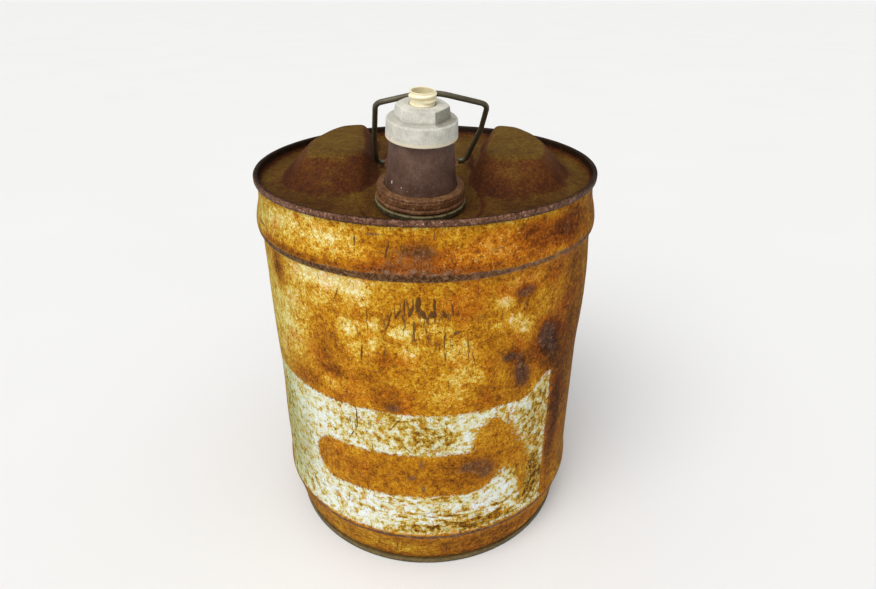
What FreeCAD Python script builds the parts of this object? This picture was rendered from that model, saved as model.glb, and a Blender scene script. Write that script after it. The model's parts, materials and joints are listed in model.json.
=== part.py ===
import FreeCAD, Part
import Sketcher
import math
import os

# Five-gallon tight-head steel pail with a screw-down pouring spout and a wire bail handle.
# Frame: +Z up, origin at the middle of the foot, the spout at the front, towards -Y. Millimetres.

os.makedirs("parts", exist_ok=True)
doc = FreeCAD.newDocument("pouring_pail")

# Turns of the three screw joints' threads.
COLLAR_THREAD_TURNS = 1.25
NUT_THREAD_TURNS = 1.75
CAP_THREAD_TURNS = 1.35

SIZES = {
    # drawn steel can
    "sheet_gauge": 0.6,
    "can_height": 340.0,
    "body_radius": 143.0,
    "chime_radius": 145.0,
    "chime_wall_radius": 141.0,
    "seam_depth": 5.0,
    "shoulder_radius": 142.5,
    "bead_radius": 147.0,
    "bead_height": 301.0,
    "bead_below": 12.0,
    "bead_above": 20.0,
    "bead_round": 9.0,
    "bead_crown": 0.9,
    "bead_crown_half": 3.4,
    "swell_radius": 144.6,
    "swell_height": 44.0,
    "swell_fade": 10.0,
    "step_height": 36.0,
    "step_radius": 142.0,
    "foot_radius": 136.0,
    "foot_seam_depth": 5.6,
    "foot_wall_radius": 132.0,
    "taper_top_height": 30.0,
    "taper_top_radius": 140.6,
    "taper_foot_height": 10.0,
    "taper_foot_radius": 136.8,
    "side_seam_angle": 2.2,
    "side_seam_turn": 4.0,
    "bottom_level": 8.4,
    "seam_gap": 0.25,
    "seam_hook_gap": 0.5,
    "seam_hook_play": 0.2,
    "seam_rounding": 0.9,
    "bottom_corner": 3.0,
    "bottom_hook": 2.6,
    "seam_compound": 0.45,
    "weld_bite": 0.3,
    # pressed top
    "top_level": 331.5,
    "pressing_gauge": 0.9,
    "hump_level": 354.0,
    "hump_foot_radius": 125.0,
    "hump_top_radius": 102.0,
    "hump_back_radius": 114.0,
    "saddle_level": 337.1,
    "seat_radius": 46.0,
    "seat_reach": 80.0,
    "seat_level": 330.0,
    "seat_tilt": 7.0,
    "seat_lean": 2.4,
    "mouth_radius": 29.0,
    # screwed neck, fixed in the top
    "neck_bore": 27.2,
    "neck_root": 29.4,
    "neck_rim": 34.3,
    "neck_height": 13.1,
    # knurled collar
    "collar_radius": 33.0,
    "collar_bead": 33.5,
    "collar_wall": 31.0,
    "collar_low": 6.2,
    "collar_high": 17.2,
    "collar_eye": 26.95,
    # tapered spout neck
    "spout_flange": 29.3,
    "spout_foot": 26.5,
    "spout_head": 22.7,
    "spout_wall": 1.6,
    "spout_flange_low": 14.2,
    "spout_flange_high": 15.4,
    "spout_shoulder": 52.0,
    "spout_root": 21.9,
    "spout_height": 62.5,
    # nozzle nut
    "nut_low": 52.3,
    "nut_skirt_low": 25.9,
    "nut_skirt_high": 25.2,
    "nut_wall": 23.3,
    "nut_ceiling": 65.1,
    "nut_shoulder": 66.2,
    "nut_flats": 35.6,
    "nut_corner_radius": 20.0,
    "nut_top_corner_radius": 18.9,
    "nut_high": 74.8,
    "nut_crown": 75.4,
    "nut_eye": 9.5,
    "nut_relief": 13.0,
    "nut_relief_high": 72.5,
    # pouring nozzle
    "nozzle_flange": 21.6,
    "nozzle_flange_low": 63.55,
    "nozzle_flange_high": 65.0,
    "nozzle_radius": 9.2,
    "nozzle_waist": 8.8,
    "nozzle_bore": 7.75,
    "nozzle_height": 84.5,
    # screw threads
    "thread_pitch": 3.0,
    "thread_depth": 1.1,
    "thread_root_width": 1.2,
    "thread_crest_width": 0.6,
    "thread_bite": 0.3,
    "neck_thread_height": 7.2,
    "collar_thread_height": 8.7,
    "spout_thread_height": 55.5,
    "nut_thread_height": 57.0,
    "nozzle_thread_height": 79.6,
    "gasket_thickness": 1.0,
    # wire bail and its clip
    "wire_radius": 2.1,
    "hinge_height": 339.5,
    "hinge_shift": -4.05,
    "hinge_reach": 1.35,
    "hinge_turn": 7.15,
    "bail_lean": 42.0,
    "clip_length": 64.0,
    "clip_gauge": 0.9,
    "clip_bore": 2.18,
    "clip_flange": 10.5,
}

sheet = doc.addObject("Spreadsheet::Sheet", "sizes")
for row, (alias, value) in enumerate(SIZES.items(), start=1):
    sheet.set(f"A{row}", alias.replace("_", " "))
    sheet.set(f"B{row}", str(value))
    sheet.setAlias(f"B{row}", alias)
doc.recompute()


class Size:
    """A length: its value in millimetres, and the expression over the sheet that gives it."""

    def __init__(self, value, text):
        self.value = value
        self.text = text

    def __add__(self, other):
        other = as_size(other)
        return Size(self.value + other.value, f"({self.text} + {other.text})")

    def __sub__(self, other):
        other = as_size(other)
        return Size(self.value - other.value, f"({self.text} - {other.text})")

    def __mul__(self, factor):
        return Size(self.value * factor, f"({self.text} * {factor})")

    def __neg__(self):
        return self * -1


def as_size(number):
    if isinstance(number, Size):
        return number
    return Size(float(number), f"{float(number)}")


def size(alias):
    return Size(float(sheet.get(alias)), f"sizes.{alias}")


def mm(alias):
    return size(alias).value


def point(x, y):
    return FreeCAD.Vector(x, y, 0)


# ---------------------------------------------------------------- sketches and bodies

def plane_of(body, role):
    for feature in body.Origin.OriginFeatures:
        if feature.Role == role:
            return feature
    raise ValueError(role)


def arc_through(start, end, radius):
    """The shorter arc from start to end; a positive radius keeps its centre on the left."""
    chord = end - start
    left = FreeCAD.Vector(-chord.y, chord.x, 0).normalize()
    side = math.copysign(1.0, radius)
    rise = math.sqrt(max(radius * radius - chord.Length ** 2 / 4, 0.0))
    centre = (start + end) * 0.5 + left * (side * rise)
    middle = centre - left * (side * abs(radius))
    return Part.Arc(start, middle, end)


def sketch_outline(body, name, role, outline):
    """A closed outline whose corners are bound to the sheet.

    Each corner is (x, y); a third value makes the way to it an arc of that radius.
    """
    sketch = body.newObject("Sketcher::SketchObject", name)
    sketch.AttachmentSupport = [(plane_of(body, role), "")]
    sketch.MapMode = "FlatFace"
    corners = [(as_size(corner[0]), as_size(corner[1])) for corner in outline]
    count = len(outline)
    ends = []
    for index in range(count):
        start = point(corners[index - 1][0].value, corners[index - 1][1].value)
        end = point(corners[index][0].value, corners[index][1].value)
        bulge = as_size(outline[index][2]) if len(outline[index]) == 3 else None
        if bulge is None:
            edge = sketch.addGeometry(Part.LineSegment(start, end), False)
            ends.append((edge, 1, 2))
            continue
        if bulge.value > 0:
            edge = sketch.addGeometry(arc_through(start, end, bulge.value), False)
            ends.append((edge, 1, 2))
        else:
            edge = sketch.addGeometry(arc_through(end, start, -bulge.value), False)
            ends.append((edge, 2, 1))
        sketch.addConstraint(Sketcher.Constraint("Radius", edge, abs(bulge.value)))
        radius_text = bulge.text if bulge.value > 0 else f"-{bulge.text}"
        sketch.setExpression(f"Constraints[{sketch.ConstraintCount - 1}]", radius_text)
    for index in range(count):
        edge, _, last = ends[index]
        following, first, _ = ends[(index + 1) % count]
        sketch.addConstraint(Sketcher.Constraint("Coincident", edge, last, following, first))
        for kind, length in zip(("DistanceX", "DistanceY"), corners[index]):
            sketch.addConstraint(Sketcher.Constraint(kind, edge, last, length.value))
            sketch.setExpression(f"Constraints[{sketch.ConstraintCount - 1}]", length.text)
    return sketch


def new_body(name, placement=None):
    body = doc.addObject("PartDesign::Body", name)
    body.Label = name
    if placement is not None:
        body.Placement = placement
    return body


def revolve(body, name, outline, angle=360.0):
    """Turn an outline given as (radius, height) corners about the body's own Z axis."""
    sketch = sketch_outline(body, f"{name}_outline", "XZ_Plane", outline)
    turned = body.newObject("PartDesign::Revolution", name)
    turned.Profile = sketch
    turned.ReferenceAxis = (sketch, ["V_Axis"])
    turned.Angle = angle
    return turned


def revolved_body(name, outline, placement=None):
    body = new_body(name, placement)
    revolve(body, f"{name}_turned", outline)
    return body


def add_thread(body, name, wall, height, turns, inward):
    """A helical ridge on a wall: on the outside of it, or inward from it."""
    way = -1.0 if inward else 1.0
    base = wall - size("thread_bite") * way
    crest = wall + size("thread_depth") * way
    root_half = size("thread_root_width") * 0.5
    crest_half = size("thread_crest_width") * 0.5
    height = as_size(height)
    outline = [
        (base, height - root_half),
        (crest, height - crest_half),
        (crest, height + crest_half),
        (base, height + root_half),
    ]
    sketch = sketch_outline(body, f"{name}_profile", "XZ_Plane", outline)
    ridge = body.newObject("PartDesign::AdditiveHelix", name)
    ridge.Profile = sketch
    ridge.ReferenceAxis = (sketch, ["V_Axis"])
    ridge.Mode = "pitch-turns-angle"
    ridge.setExpression("Pitch", size("thread_pitch").text)
    ridge.Turns = turns
    ridge.LeftHanded = False
    ridge.Reversed = False
    return ridge


def flat_ring(name, outer, inner, low, thickness, placement):
    """A plain washer, cut from two cylinders."""
    rings = []
    for part, radius in (("disc", outer), ("eye", inner)):
        cylinder = doc.addObject("Part::Cylinder", f"{name}_{part}")
        cylinder.setExpression("Radius", radius.text)
        cylinder.setExpression("Height", thickness.text)
        cylinder.setExpression("Placement.Base.z", as_size(low).text)
        rings.append(cylinder)
    washer = doc.addObject("Part::Cut", name)
    washer.Base, washer.Tool = rings
    washer.Label = name
    washer.Placement = placement
    return washer


# ---------------------------------------------------------------- can: body, bottom and seams

gauge = size("sheet_gauge")
seam_gap = size("seam_gap")
hook_gap = size("seam_hook_gap")
compound = size("seam_compound")


def body_wall(offset):
    """The body's line from foot to shoulder, moved outwards by an offset."""
    bead = size("bead_height")
    crown = size("bead_radius") - size("bead_crown") + offset
    crown_half = size("bead_crown_half")
    swell = size("swell_height")
    return [
        (size("taper_foot_radius") + offset, size("taper_foot_height")),
        (size("taper_top_radius") + offset, size("taper_top_height")),
        (size("step_radius") + offset, size("step_height")),
        (size("swell_radius") + offset, swell, 12.0),
        (size("body_radius") + offset, swell + size("swell_fade"), 30.0),
        (size("body_radius") + offset, bead - size("bead_below")),
        (crown, bead - crown_half),
        (crown, bead + crown_half, size("bead_round")),
        (size("shoulder_radius") + offset, bead + size("bead_above")),
    ]


def body_outline():
    """One sheet: the wall, with a hook turned outwards at each end."""
    rim_top = size("can_height") - gauge - compound
    hook_out = size("chime_radius") - gauge - seam_gap
    hook_low = size("can_height") - size("seam_depth") + gauge + hook_gap
    shoulder = size("shoulder_radius")
    foot_out = size("foot_radius") - gauge - seam_gap
    foot_wall = size("foot_wall_radius") + gauge + size("weld_bite")
    foot_low = gauge + compound
    foot_hook = size("foot_seam_depth") - gauge - hook_gap
    neck = size("foot_seam_depth") + 1.0
    outer = body_wall(0)
    inner = body_wall(-gauge)
    top = [
        (shoulder, rim_top - gauge),
        (hook_out - gauge, rim_top - gauge),
        (hook_out - gauge, hook_low),
        (hook_out, hook_low),
        (hook_out, rim_top),
        (shoulder - gauge, rim_top),
    ]
    bottom = [
        (foot_wall, neck),
        (foot_wall, foot_low),
        (foot_out, foot_low),
        (foot_out, foot_hook),
        (foot_out - gauge, foot_hook),
        (foot_out - gauge, foot_low + gauge),
        (foot_wall + gauge, foot_low + gauge),
        (foot_wall + gauge, neck - 0.3),
    ]
    return outer + top + way_back(inner) + bottom


def way_back(line):
    """The same line walked from its end, with each arc bulging the same way."""
    walked = []
    for index in range(len(line) - 1, -1, -1):
        corner = line[index][:2]
        if index + 1 < len(line) and len(line[index + 1]) == 3:
            radius = as_size(line[index + 1][2])
            corner = corner + (-radius,)
        walked.append(corner)
    return walked


def build_body_shell():
    body = revolved_body("body_shell", body_outline())
    start = FreeCAD.Rotation(FreeCAD.Vector(0, 0, 1), mm("side_seam_turn"))
    body.Placement = FreeCAD.Placement(FreeCAD.Vector(0, 0, 0), start)
    bite = size("weld_bite")
    shoulder = size("shoulder_radius")
    lap_top = size("can_height") - size("seam_depth") - hook_gap
    lap = body_wall(gauge) + [(shoulder + gauge, lap_top), (shoulder - bite, lap_top)]
    side_seam = revolve(body, "side_seam", lap + way_back(body_wall(-bite)))
    side_seam.setExpression("Angle", size("side_seam_angle").text)
    return body


def build_bottom_head():
    rim = size("foot_radius")
    wall = size("foot_wall_radius")
    level = size("bottom_level")
    depth = size("foot_seam_depth")
    rounding = size("seam_rounding")
    corner = size("bottom_corner")
    hook = rim - gauge - seam_gap - gauge - size("seam_hook_play")
    hook_low = depth - size("bottom_hook")
    flat_reach = wall - 5.0
    outline = [
        (0, level),
        (flat_reach, level),
        (wall, level - corner),
        (wall, rounding),
        (wall + rounding, 0, rounding),
        (rim - rounding, 0),
        (rim, rounding, rounding),
        (rim, depth),
        (hook - gauge, depth),
        (hook - gauge, hook_low),
        (hook, hook_low),
        (hook, depth - gauge),
        (rim - gauge, depth - gauge),
        (rim - gauge, gauge),
        (wall + gauge, gauge),
        (wall + gauge, level - corner + gauge * 0.5),
        (flat_reach + gauge * 0.5, level + gauge),
        (0, level + gauge),
    ]
    return revolved_body("bottom_head", outline)


# ---------------------------------------------------------------- can: pressed top

def panel_outline(level, shape):
    """A hump's outline at one level: straight along the valley and the front, round at the rim."""
    rim_start, rim_middle, rim_end = shape["rim"]
    corners = [point(*corner) for corner in [rim_end] + shape["corners"] + [rim_start]]
    edges = [Part.LineSegment(a, b).toShape() for a, b in zip(corners, corners[1:])]
    edges.append(Part.Arc(point(*rim_start), point(*rim_middle), point(*rim_end)).toShape())
    wire = Part.Wire(edges)
    wire.translate(FreeCAD.Vector(0, 0, level))
    return wire


def on_circle(radius, degrees):
    angle = math.radians(degrees)
    return (radius * math.cos(angle), radius * math.sin(angle))


def hump(side):
    """One of the two raised panels beside the valley; side is 1 for +X and -1 for -X."""
    foot_radius = mm("hump_foot_radius")
    top_radius = mm("hump_top_radius")
    back_corner = on_circle(mm("hump_back_radius"), 39)
    foot = {
        "rim": [on_circle(foot_radius, degrees) for degrees in (-25, 17, 59)],
        "corners": [(57.0, 111.0), (37.0, -42.0), (46.0, -72.0), (75.0, -95.0)],
    }
    top = {
        "rim": [on_circle(top_radius, -25), on_circle(top_radius, 7), back_corner],
        "corners": [(61.5, 82.0), (46.0, -18.0), (48.0, -30.0), (68.0, -38.0)],
    }
    wires = [panel_outline(mm("top_level") - 4.0, foot), panel_outline(mm("hump_level"), top)]
    solid = Part.makeLoft(wires, True, True)
    if side < 0:
        solid = solid.mirror(FreeCAD.Vector(0, 0, 0), FreeCAD.Vector(1, 0, 0))
    return solid


def rectangle(level, x_half, y_low, y_high):
    corners = [(-x_half, y_low), (x_half, y_low), (x_half, y_high), (-x_half, y_high), (-x_half, y_low)]
    return Part.makePolygon([FreeCAD.Vector(x, y, level) for x, y in corners])


def saddle():
    """The raised floor of the valley, flat under the handle clip."""
    foot = rectangle(mm("top_level") - 2.0, 44.0, -60.0, 112.0)
    top = rectangle(mm("saddle_level"), 36.0, -16.0, 19.0)
    return Part.makeLoft([foot, top], True, True)


def spout_frame():
    """The spout's own frame: origin in the middle of its seat, Z along its axis.

    The axis is tilted forwards and leans a little to +X.
    """
    tilt = FreeCAD.Rotation(FreeCAD.Vector(1, 0, 0), mm("seat_tilt"))
    lean = FreeCAD.Rotation(FreeCAD.Vector(0, 1, 0), mm("seat_lean"))
    centre = FreeCAD.Vector(0, -mm("seat_reach"), mm("seat_level"))
    return FreeCAD.Placement(centre, tilt.multiply(lean))


def raised_surface():
    """Everything under the top's upper surface, as one solid."""
    base_level = mm("top_level") - 30.0
    disc = Part.makeCylinder(mm("chime_wall_radius") + 0.3, 30.0, FreeCAD.Vector(0, 0, base_level))
    solid = disc.fuse([hump(1), hump(-1), saddle()])
    depth = 24.0
    seat = mm("seat_radius")
    clearing = Part.makeCone(seat, seat + depth, depth)
    pedestal = Part.makeCone(seat + 12.0, seat, 12.0, FreeCAD.Vector(0, 0, -12.0))
    clearing.Placement = spout_frame()
    pedestal.Placement = spout_frame()
    return solid.cut(clearing).fuse(pedestal).removeSplitter()


def build_top_head():
    surface = raised_surface()
    below = surface.copy()
    below.translate(FreeCAD.Vector(0, 0, -mm("pressing_gauge")))
    pressing = surface.cut(below)
    mouth = Part.makeCylinder(mm("mouth_radius"), 20.0, FreeCAD.Vector(0, 0, -10.0))
    mouth.Placement = spout_frame()
    pressing = pressing.cut(mouth)
    pressing = pressing.fuse(seam_hook()).removeSplitter()
    top = doc.addObject("Part::Feature", "top_head")
    top.Label = "top_head"
    top.Shape = pressing
    top.Placement = FreeCAD.Placement()
    return top


def seam_hook():
    """The countersunk wall of the top, rolled over the body's hook to make the chime."""
    thick = mm("sheet_gauge")
    tuck = 3.0
    wall = mm("chime_wall_radius")
    rim = mm("chime_radius")
    high = mm("can_height")
    low = high - mm("seam_depth")
    floor = mm("top_level") - mm("pressing_gauge")
    hook = rim - 2 * thick - mm("seam_gap") - mm("seam_hook_play")
    round_over = mm("seam_rounding")
    corners = [
        (wall + thick, floor),
        (wall + thick, high - thick),
        (rim - thick, high - thick),
        (rim - thick, low + thick),
        (hook, low + thick),
        (hook, low + tuck),
        (hook - thick, low + tuck),
        (hook - thick, low),
        (rim, low),
        (rim, high - round_over),
    ]
    after_round = [(rim - round_over, high), (wall + round_over, high)]
    inner = [(wall, high - round_over), (wall, floor)]
    rounding = round_over * (1 - math.sqrt(0.5))
    path = [FreeCAD.Vector(x, 0, z) for x, z in corners]
    far = [FreeCAD.Vector(x, 0, z) for x, z in after_round]
    back = [FreeCAD.Vector(x, 0, z) for x, z in inner]
    outer_middle = FreeCAD.Vector(rim - rounding, 0, high - rounding)
    inner_middle = FreeCAD.Vector(wall + rounding, 0, high - rounding)
    edges = [Part.LineSegment(a, b).toShape() for a, b in zip(path, path[1:])]
    edges.append(Part.Arc(path[-1], outer_middle, far[0]).toShape())
    edges.append(Part.LineSegment(far[0], far[1]).toShape())
    edges.append(Part.Arc(far[1], inner_middle, back[0]).toShape())
    edges.append(Part.LineSegment(back[0], back[1]).toShape())
    edges.append(Part.LineSegment(back[1], path[0]).toShape())
    face = Part.Face(Part.Wire(edges))
    return face.revolve(FreeCAD.Vector(0, 0, 0), FreeCAD.Vector(0, 0, 1), 360)


# ---------------------------------------------------------------- spout stack

def build_neck_ring():
    bore = size("neck_bore")
    root = size("neck_root")
    rim = size("neck_rim")
    high = size("neck_height")
    skirt = size("mouth_radius") - 0.2
    outline = [
        (bore, -2.4),
        (skirt + 3.0, -2.4),
        (skirt + 3.0, -1.0),
        (skirt, -1.0),
        (skirt, 0.8),
        (rim - 0.6, 0.8),
        (rim, 1.4),
        (rim, 4.8),
        (rim - 0.6, 5.4),
        (root, 5.4),
        (root, high),
        (bore, high),
    ]
    body = revolved_body("neck_ring", outline, spout_frame())
    add_thread(
        body, "neck_thread", root, size("neck_thread_height"), COLLAR_THREAD_TURNS, inward=False)
    return body


def build_spout_collar():
    wall = size("collar_wall")
    outer = size("collar_radius")
    bead = size("collar_bead")
    eye = size("collar_eye")
    low = size("collar_low")
    high = size("collar_high")
    outline = [
        (wall, low),
        (bead - 0.4, low),
        (bead, low + 0.6),
        (bead, low + 2.6),
        (outer - 0.4, low + 3.3),
        (outer, low + 3.9),
        (outer, high - 2.7),
        (outer - 0.8, high - 1.2),
        (eye + 1.6, high),
        (eye, high),
        (eye, size("spout_flange_high") + 0.1),
        (wall, size("spout_flange_high") + 0.1),
    ]
    body = revolved_body("spout_collar", outline, spout_frame())
    add_thread(
        body, "collar_thread", wall, size("collar_thread_height"), COLLAR_THREAD_TURNS, inward=True)
    return body


def build_spout_neck():
    flange = size("spout_flange")
    foot = size("spout_foot")
    head = size("spout_head")
    root = size("spout_root")
    wall = size("spout_wall")
    outline = [
        (foot - wall, size("spout_flange_low")),
        (flange, size("spout_flange_low")),
        (flange, size("spout_flange_high")),
        (foot, size("spout_flange_high")),
        (head, size("spout_shoulder")),
        (root, size("spout_shoulder")),
        (root, size("spout_height")),
        (root - wall, size("spout_height")),
        (root - wall, size("spout_shoulder")),
    ]
    body = revolved_body("spout_neck", outline, spout_frame())
    add_thread(
        body, "spout_thread", root, size("spout_thread_height"), NUT_THREAD_TURNS, inward=False)
    return body


def build_nozzle_nut():
    wall = size("nut_wall")
    shoulder = size("nut_shoulder")
    corner = size("nut_corner_radius")
    outline = [
        (wall, size("nut_low")),
        (size("nut_skirt_low") - 0.5, size("nut_low")),
        (size("nut_skirt_low"), size("nut_low") + 0.5),
        (size("nut_skirt_high"), shoulder - 0.6),
        (size("nut_skirt_high") - 0.6, shoulder),
        (corner, shoulder),
        (size("nut_top_corner_radius"), size("nut_high") - 0.6),
        (size("nut_top_corner_radius") - 1.6, size("nut_high")),
        (size("nut_eye") + 2.0, size("nut_crown")),
        (size("nut_eye"), size("nut_crown")),
        (size("nut_eye"), size("nut_relief_high")),
        (size("nut_relief"), size("nut_relief_high")),
        (size("nut_relief"), size("nut_ceiling")),
        (wall, size("nut_ceiling")),
    ]
    body = revolved_body("nozzle_nut", outline, spout_frame())
    cut_flats(body)
    add_thread(body, "nut_thread", wall, size("nut_thread_height"), NUT_THREAD_TURNS, inward=True)
    return body


def cut_flats(body):
    """Cut six flats above the shoulder: a round blank, less one segment repeated round it."""
    flat = size("nut_flats") * 0.5
    reach = size("nut_corner_radius") + 2.0
    outline = [(-reach, -flat), (-reach, -reach), (reach, -reach), (reach, -flat)]
    sketch = sketch_outline(body, "flat_outline", "XY_Plane", outline)
    sketch.setExpression("AttachmentOffset.Base.z", size("nut_shoulder").text)
    doc.recompute()
    before = body.Tip.Shape.Volume
    pocket = body.newObject("PartDesign::Pocket", "first_flat")
    pocket.Profile = sketch
    pocket.setExpression("Length", (size("nut_crown") - size("nut_shoulder") + 2.0).text)
    pocket.Reversed = True
    pattern = body.newObject("PartDesign::PolarPattern", "six_flats")
    pattern.Originals = [pocket]
    pattern.Axis = (sketch, ["N_Axis"])
    pattern.Angle = 360
    pattern.Occurrences = 6
    body.Tip = pattern
    doc.recompute()
    if body.Tip.Shape.Volume > before - 1.0:
        raise RuntimeError("the nut's flats cut nothing")


def build_pour_nozzle():
    radius = size("nozzle_radius")
    waist = size("nozzle_waist")
    bore = size("nozzle_bore")
    high = size("nozzle_height")
    outline = [
        (bore, size("nozzle_flange_low")),
        (size("nozzle_flange"), size("nozzle_flange_low")),
        (size("nozzle_flange"), size("nozzle_flange_high")),
        (radius, size("nozzle_flange_high")),
        (radius, size("nut_crown") + 1.2),
        (waist, size("nut_crown") + 1.6),
        (waist, high - 0.5),
        (waist - 0.4, high),
        (bore, high),
    ]
    body = revolved_body("pour_nozzle", outline, spout_frame())
    add_thread(
        body, "nozzle_thread", waist, size("nozzle_thread_height"), CAP_THREAD_TURNS, inward=False)
    return body


# ---------------------------------------------------------------- handle

def hinge_frame():
    """The clip's frame: X along the bail's hinge line, Z up."""
    turn = FreeCAD.Rotation(FreeCAD.Vector(0, 0, 1), mm("hinge_turn"))
    base = FreeCAD.Vector(mm("hinge_shift"), mm("hinge_reach"), mm("hinge_height"))
    return FreeCAD.Placement(base, turn)


def build_handle_clip():
    """A steel strap folded over the bail's feet: two flat flanges and an arch between them."""
    body = new_body("handle_clip", hinge_frame())
    bore = size("clip_bore")
    thick = size("clip_gauge")
    low = size("saddle_level") - size("hinge_height")
    flange = size("clip_flange")
    outline = [
        (-flange, low),
        (-bore, low),
        (-bore, 0),
        (0, bore, -bore),
        (bore, 0, -bore),
        (bore, low),
        (flange, low),
        (flange, low + thick),
        (bore + thick, low + thick),
        (bore + thick, 0),
        (0, bore + thick, bore + thick),
        (-bore - thick, 0, bore + thick),
        (-bore - thick, low + thick),
        (-flange, low + thick),
    ]
    sketch = sketch_outline(body, "clip_section", "YZ_Plane", outline)
    strap = body.newObject("PartDesign::Pad", "clip_strap")
    strap.Profile = sketch
    strap.setExpression("Length", size("clip_length").text)
    strap.Midplane = True
    return body


def rounded_path(corners):
    """Straight runs joined by tangent arcs; each inner corner is (x, y, radius)."""
    edges = []
    here = point(*corners[0][:2])
    for index in range(1, len(corners) - 1):
        corner = point(*corners[index][:2])
        before = (point(*corners[index - 1][:2]) - corner).normalize()
        after = (point(*corners[index + 1][:2]) - corner).normalize()
        half = before.getAngle(after) / 2
        radius = corners[index][2]
        reach = radius / math.tan(half)
        entry = corner + before * reach
        leave = corner + after * reach
        inward = (before + after).normalize()
        middle = corner + inward * (radius / math.sin(half) - radius)
        edges.append(Part.LineSegment(here, entry).toShape())
        edges.append(Part.Arc(entry, middle, leave).toShape())
        here = leave
    edges.append(Part.LineSegment(here, point(*corners[-1][:2])).toShape())
    return Part.Wire(edges)


# The bail in its own plane: x along the hinge, y up its legs; bent by hand, so not quite even.
BAIL_BENDS = [
    (-7.0, 0.0),
    (-38.4, 0.0, 5.0),
    (-39.3, 32.0, 90.0),
    (-36.8, 79.4, 7.0),
    (-5.0, 89.6, 50.0),
    (10.5, 89.7, 38.0),
    (48.0, 75.8, 8.0),
    (46.6, 45.0, 90.0),
    (38.4, 0.0, 5.0),
    (7.0, 0.0),
]


def build_bail_handle():
    path = rounded_path(BAIL_BENDS)
    wire = mm("wire_radius")
    start = FreeCAD.Vector(BAIL_BENDS[0][0], 0, 0)
    section = Part.Wire(Part.makeCircle(wire, start, FreeCAD.Vector(1, 0, 0)))
    rod = path.makePipeShell([section], True, True)
    lean = FreeCAD.Rotation(FreeCAD.Vector(1, 0, 0), 90 + mm("bail_lean"))
    bail = doc.addObject("Part::Feature", "bail_handle")
    bail.Label = "bail_handle"
    bail.Shape = rod
    bail.Placement = hinge_frame().multiply(FreeCAD.Placement(FreeCAD.Vector(0, 0, 0), lean))
    expected = math.pi * wire ** 2 * path.Length
    if abs(rod.Volume - expected) > 0.01 * expected:
        raise RuntimeError("the bail's volume is wrong")
    return bail


# ---------------------------------------------------------------- assembly

def build_gaskets():
    thick = size("gasket_thickness")
    spout = spout_frame()
    neck_washer = flat_ring(
        "neck_gasket", size("neck_rim") - 0.9, size("mouth_radius"), 0, as_size(0.8), spout)
    collar_washer = flat_ring(
        "collar_gasket", size("spout_flange"), size("neck_bore"), size("neck_height"), thick, spout)
    nozzle_washer = flat_ring(
        "nozzle_gasket", size("spout_root") - 0.2, size("spout_root") - size("spout_wall") - 2.0,
        size("spout_height"), thick, spout)
    return [neck_washer, collar_washer, nozzle_washer]


def build_seam_compound():
    """The rubbery lining compound left in the fold of each double seam."""
    origin = FreeCAD.Placement()
    top = flat_ring(
        "top_seam_compound", size("chime_radius") - gauge, size("chime_wall_radius") + gauge,
        size("can_height") - gauge - compound, compound, origin)
    bottom = flat_ring(
        "bottom_seam_compound", size("foot_radius") - gauge, size("foot_wall_radius") + gauge,
        gauge, compound, origin)
    return [top, bottom]


nodes = [
    build_body_shell(),
    build_top_head(),
    build_bottom_head(),
    build_neck_ring(),
    build_spout_collar(),
    build_spout_neck(),
    build_nozzle_nut(),
    build_pour_nozzle(),
    build_handle_clip(),
    build_bail_handle(),
]
nodes += build_gaskets()
nodes += build_seam_compound()
doc.recompute()

for item in doc.Objects:
    if "Invalid" in item.State or "Error" in item.State:
        raise RuntimeError(f"{item.Name} failed: {item.State}")
for node in nodes:
    if node.Shape.isNull() or not node.Shape.isValid():
        raise RuntimeError(f"{node.Label} has no valid shape")
    if len(node.Shape.Solids) != 1:
        raise RuntimeError(f"{node.Label} has {len(node.Shape.Solids)} solids")
for node in nodes:
    node.Shape.exportStep(f"parts/{node.Label}.step")
    print(node.Label, round(node.Shape.Volume, 1))
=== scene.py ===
import json
import math

import bpy
import numpy as np
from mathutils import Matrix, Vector, noise
from mathutils.bvhtree import BVHTree


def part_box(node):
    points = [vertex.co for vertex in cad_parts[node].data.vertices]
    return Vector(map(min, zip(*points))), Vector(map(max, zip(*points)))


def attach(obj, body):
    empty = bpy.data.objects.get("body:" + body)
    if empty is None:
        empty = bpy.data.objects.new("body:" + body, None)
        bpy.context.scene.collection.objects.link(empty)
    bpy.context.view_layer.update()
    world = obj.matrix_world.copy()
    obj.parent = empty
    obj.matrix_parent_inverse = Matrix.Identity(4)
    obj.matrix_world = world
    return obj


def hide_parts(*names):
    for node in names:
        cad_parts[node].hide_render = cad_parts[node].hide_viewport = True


# A rusty five-gallon steel pail with a screw-down pouring spout. Lengths here are millimetres in
# the row frame; make_mesh() turns them into metres. Azimuth runs from the front (-Y) towards +X.

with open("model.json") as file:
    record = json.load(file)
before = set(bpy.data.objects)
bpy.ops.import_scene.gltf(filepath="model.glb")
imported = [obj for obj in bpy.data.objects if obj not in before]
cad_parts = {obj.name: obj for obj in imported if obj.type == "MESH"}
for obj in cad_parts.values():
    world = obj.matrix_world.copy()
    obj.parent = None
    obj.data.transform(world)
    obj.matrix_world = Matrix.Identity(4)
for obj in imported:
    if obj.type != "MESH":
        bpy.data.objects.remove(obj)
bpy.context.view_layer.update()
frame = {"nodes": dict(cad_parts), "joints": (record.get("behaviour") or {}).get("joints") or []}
MM = 0.001
TAU = 2 * math.pi


def joint(name):
    return next(j for j in frame["joints"] if j["name"] == name)


def box_mm(node):
    low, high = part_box(node)
    return np.array(low) / MM, np.array(high) / MM


BODY_RADIUS = 143.0

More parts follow.
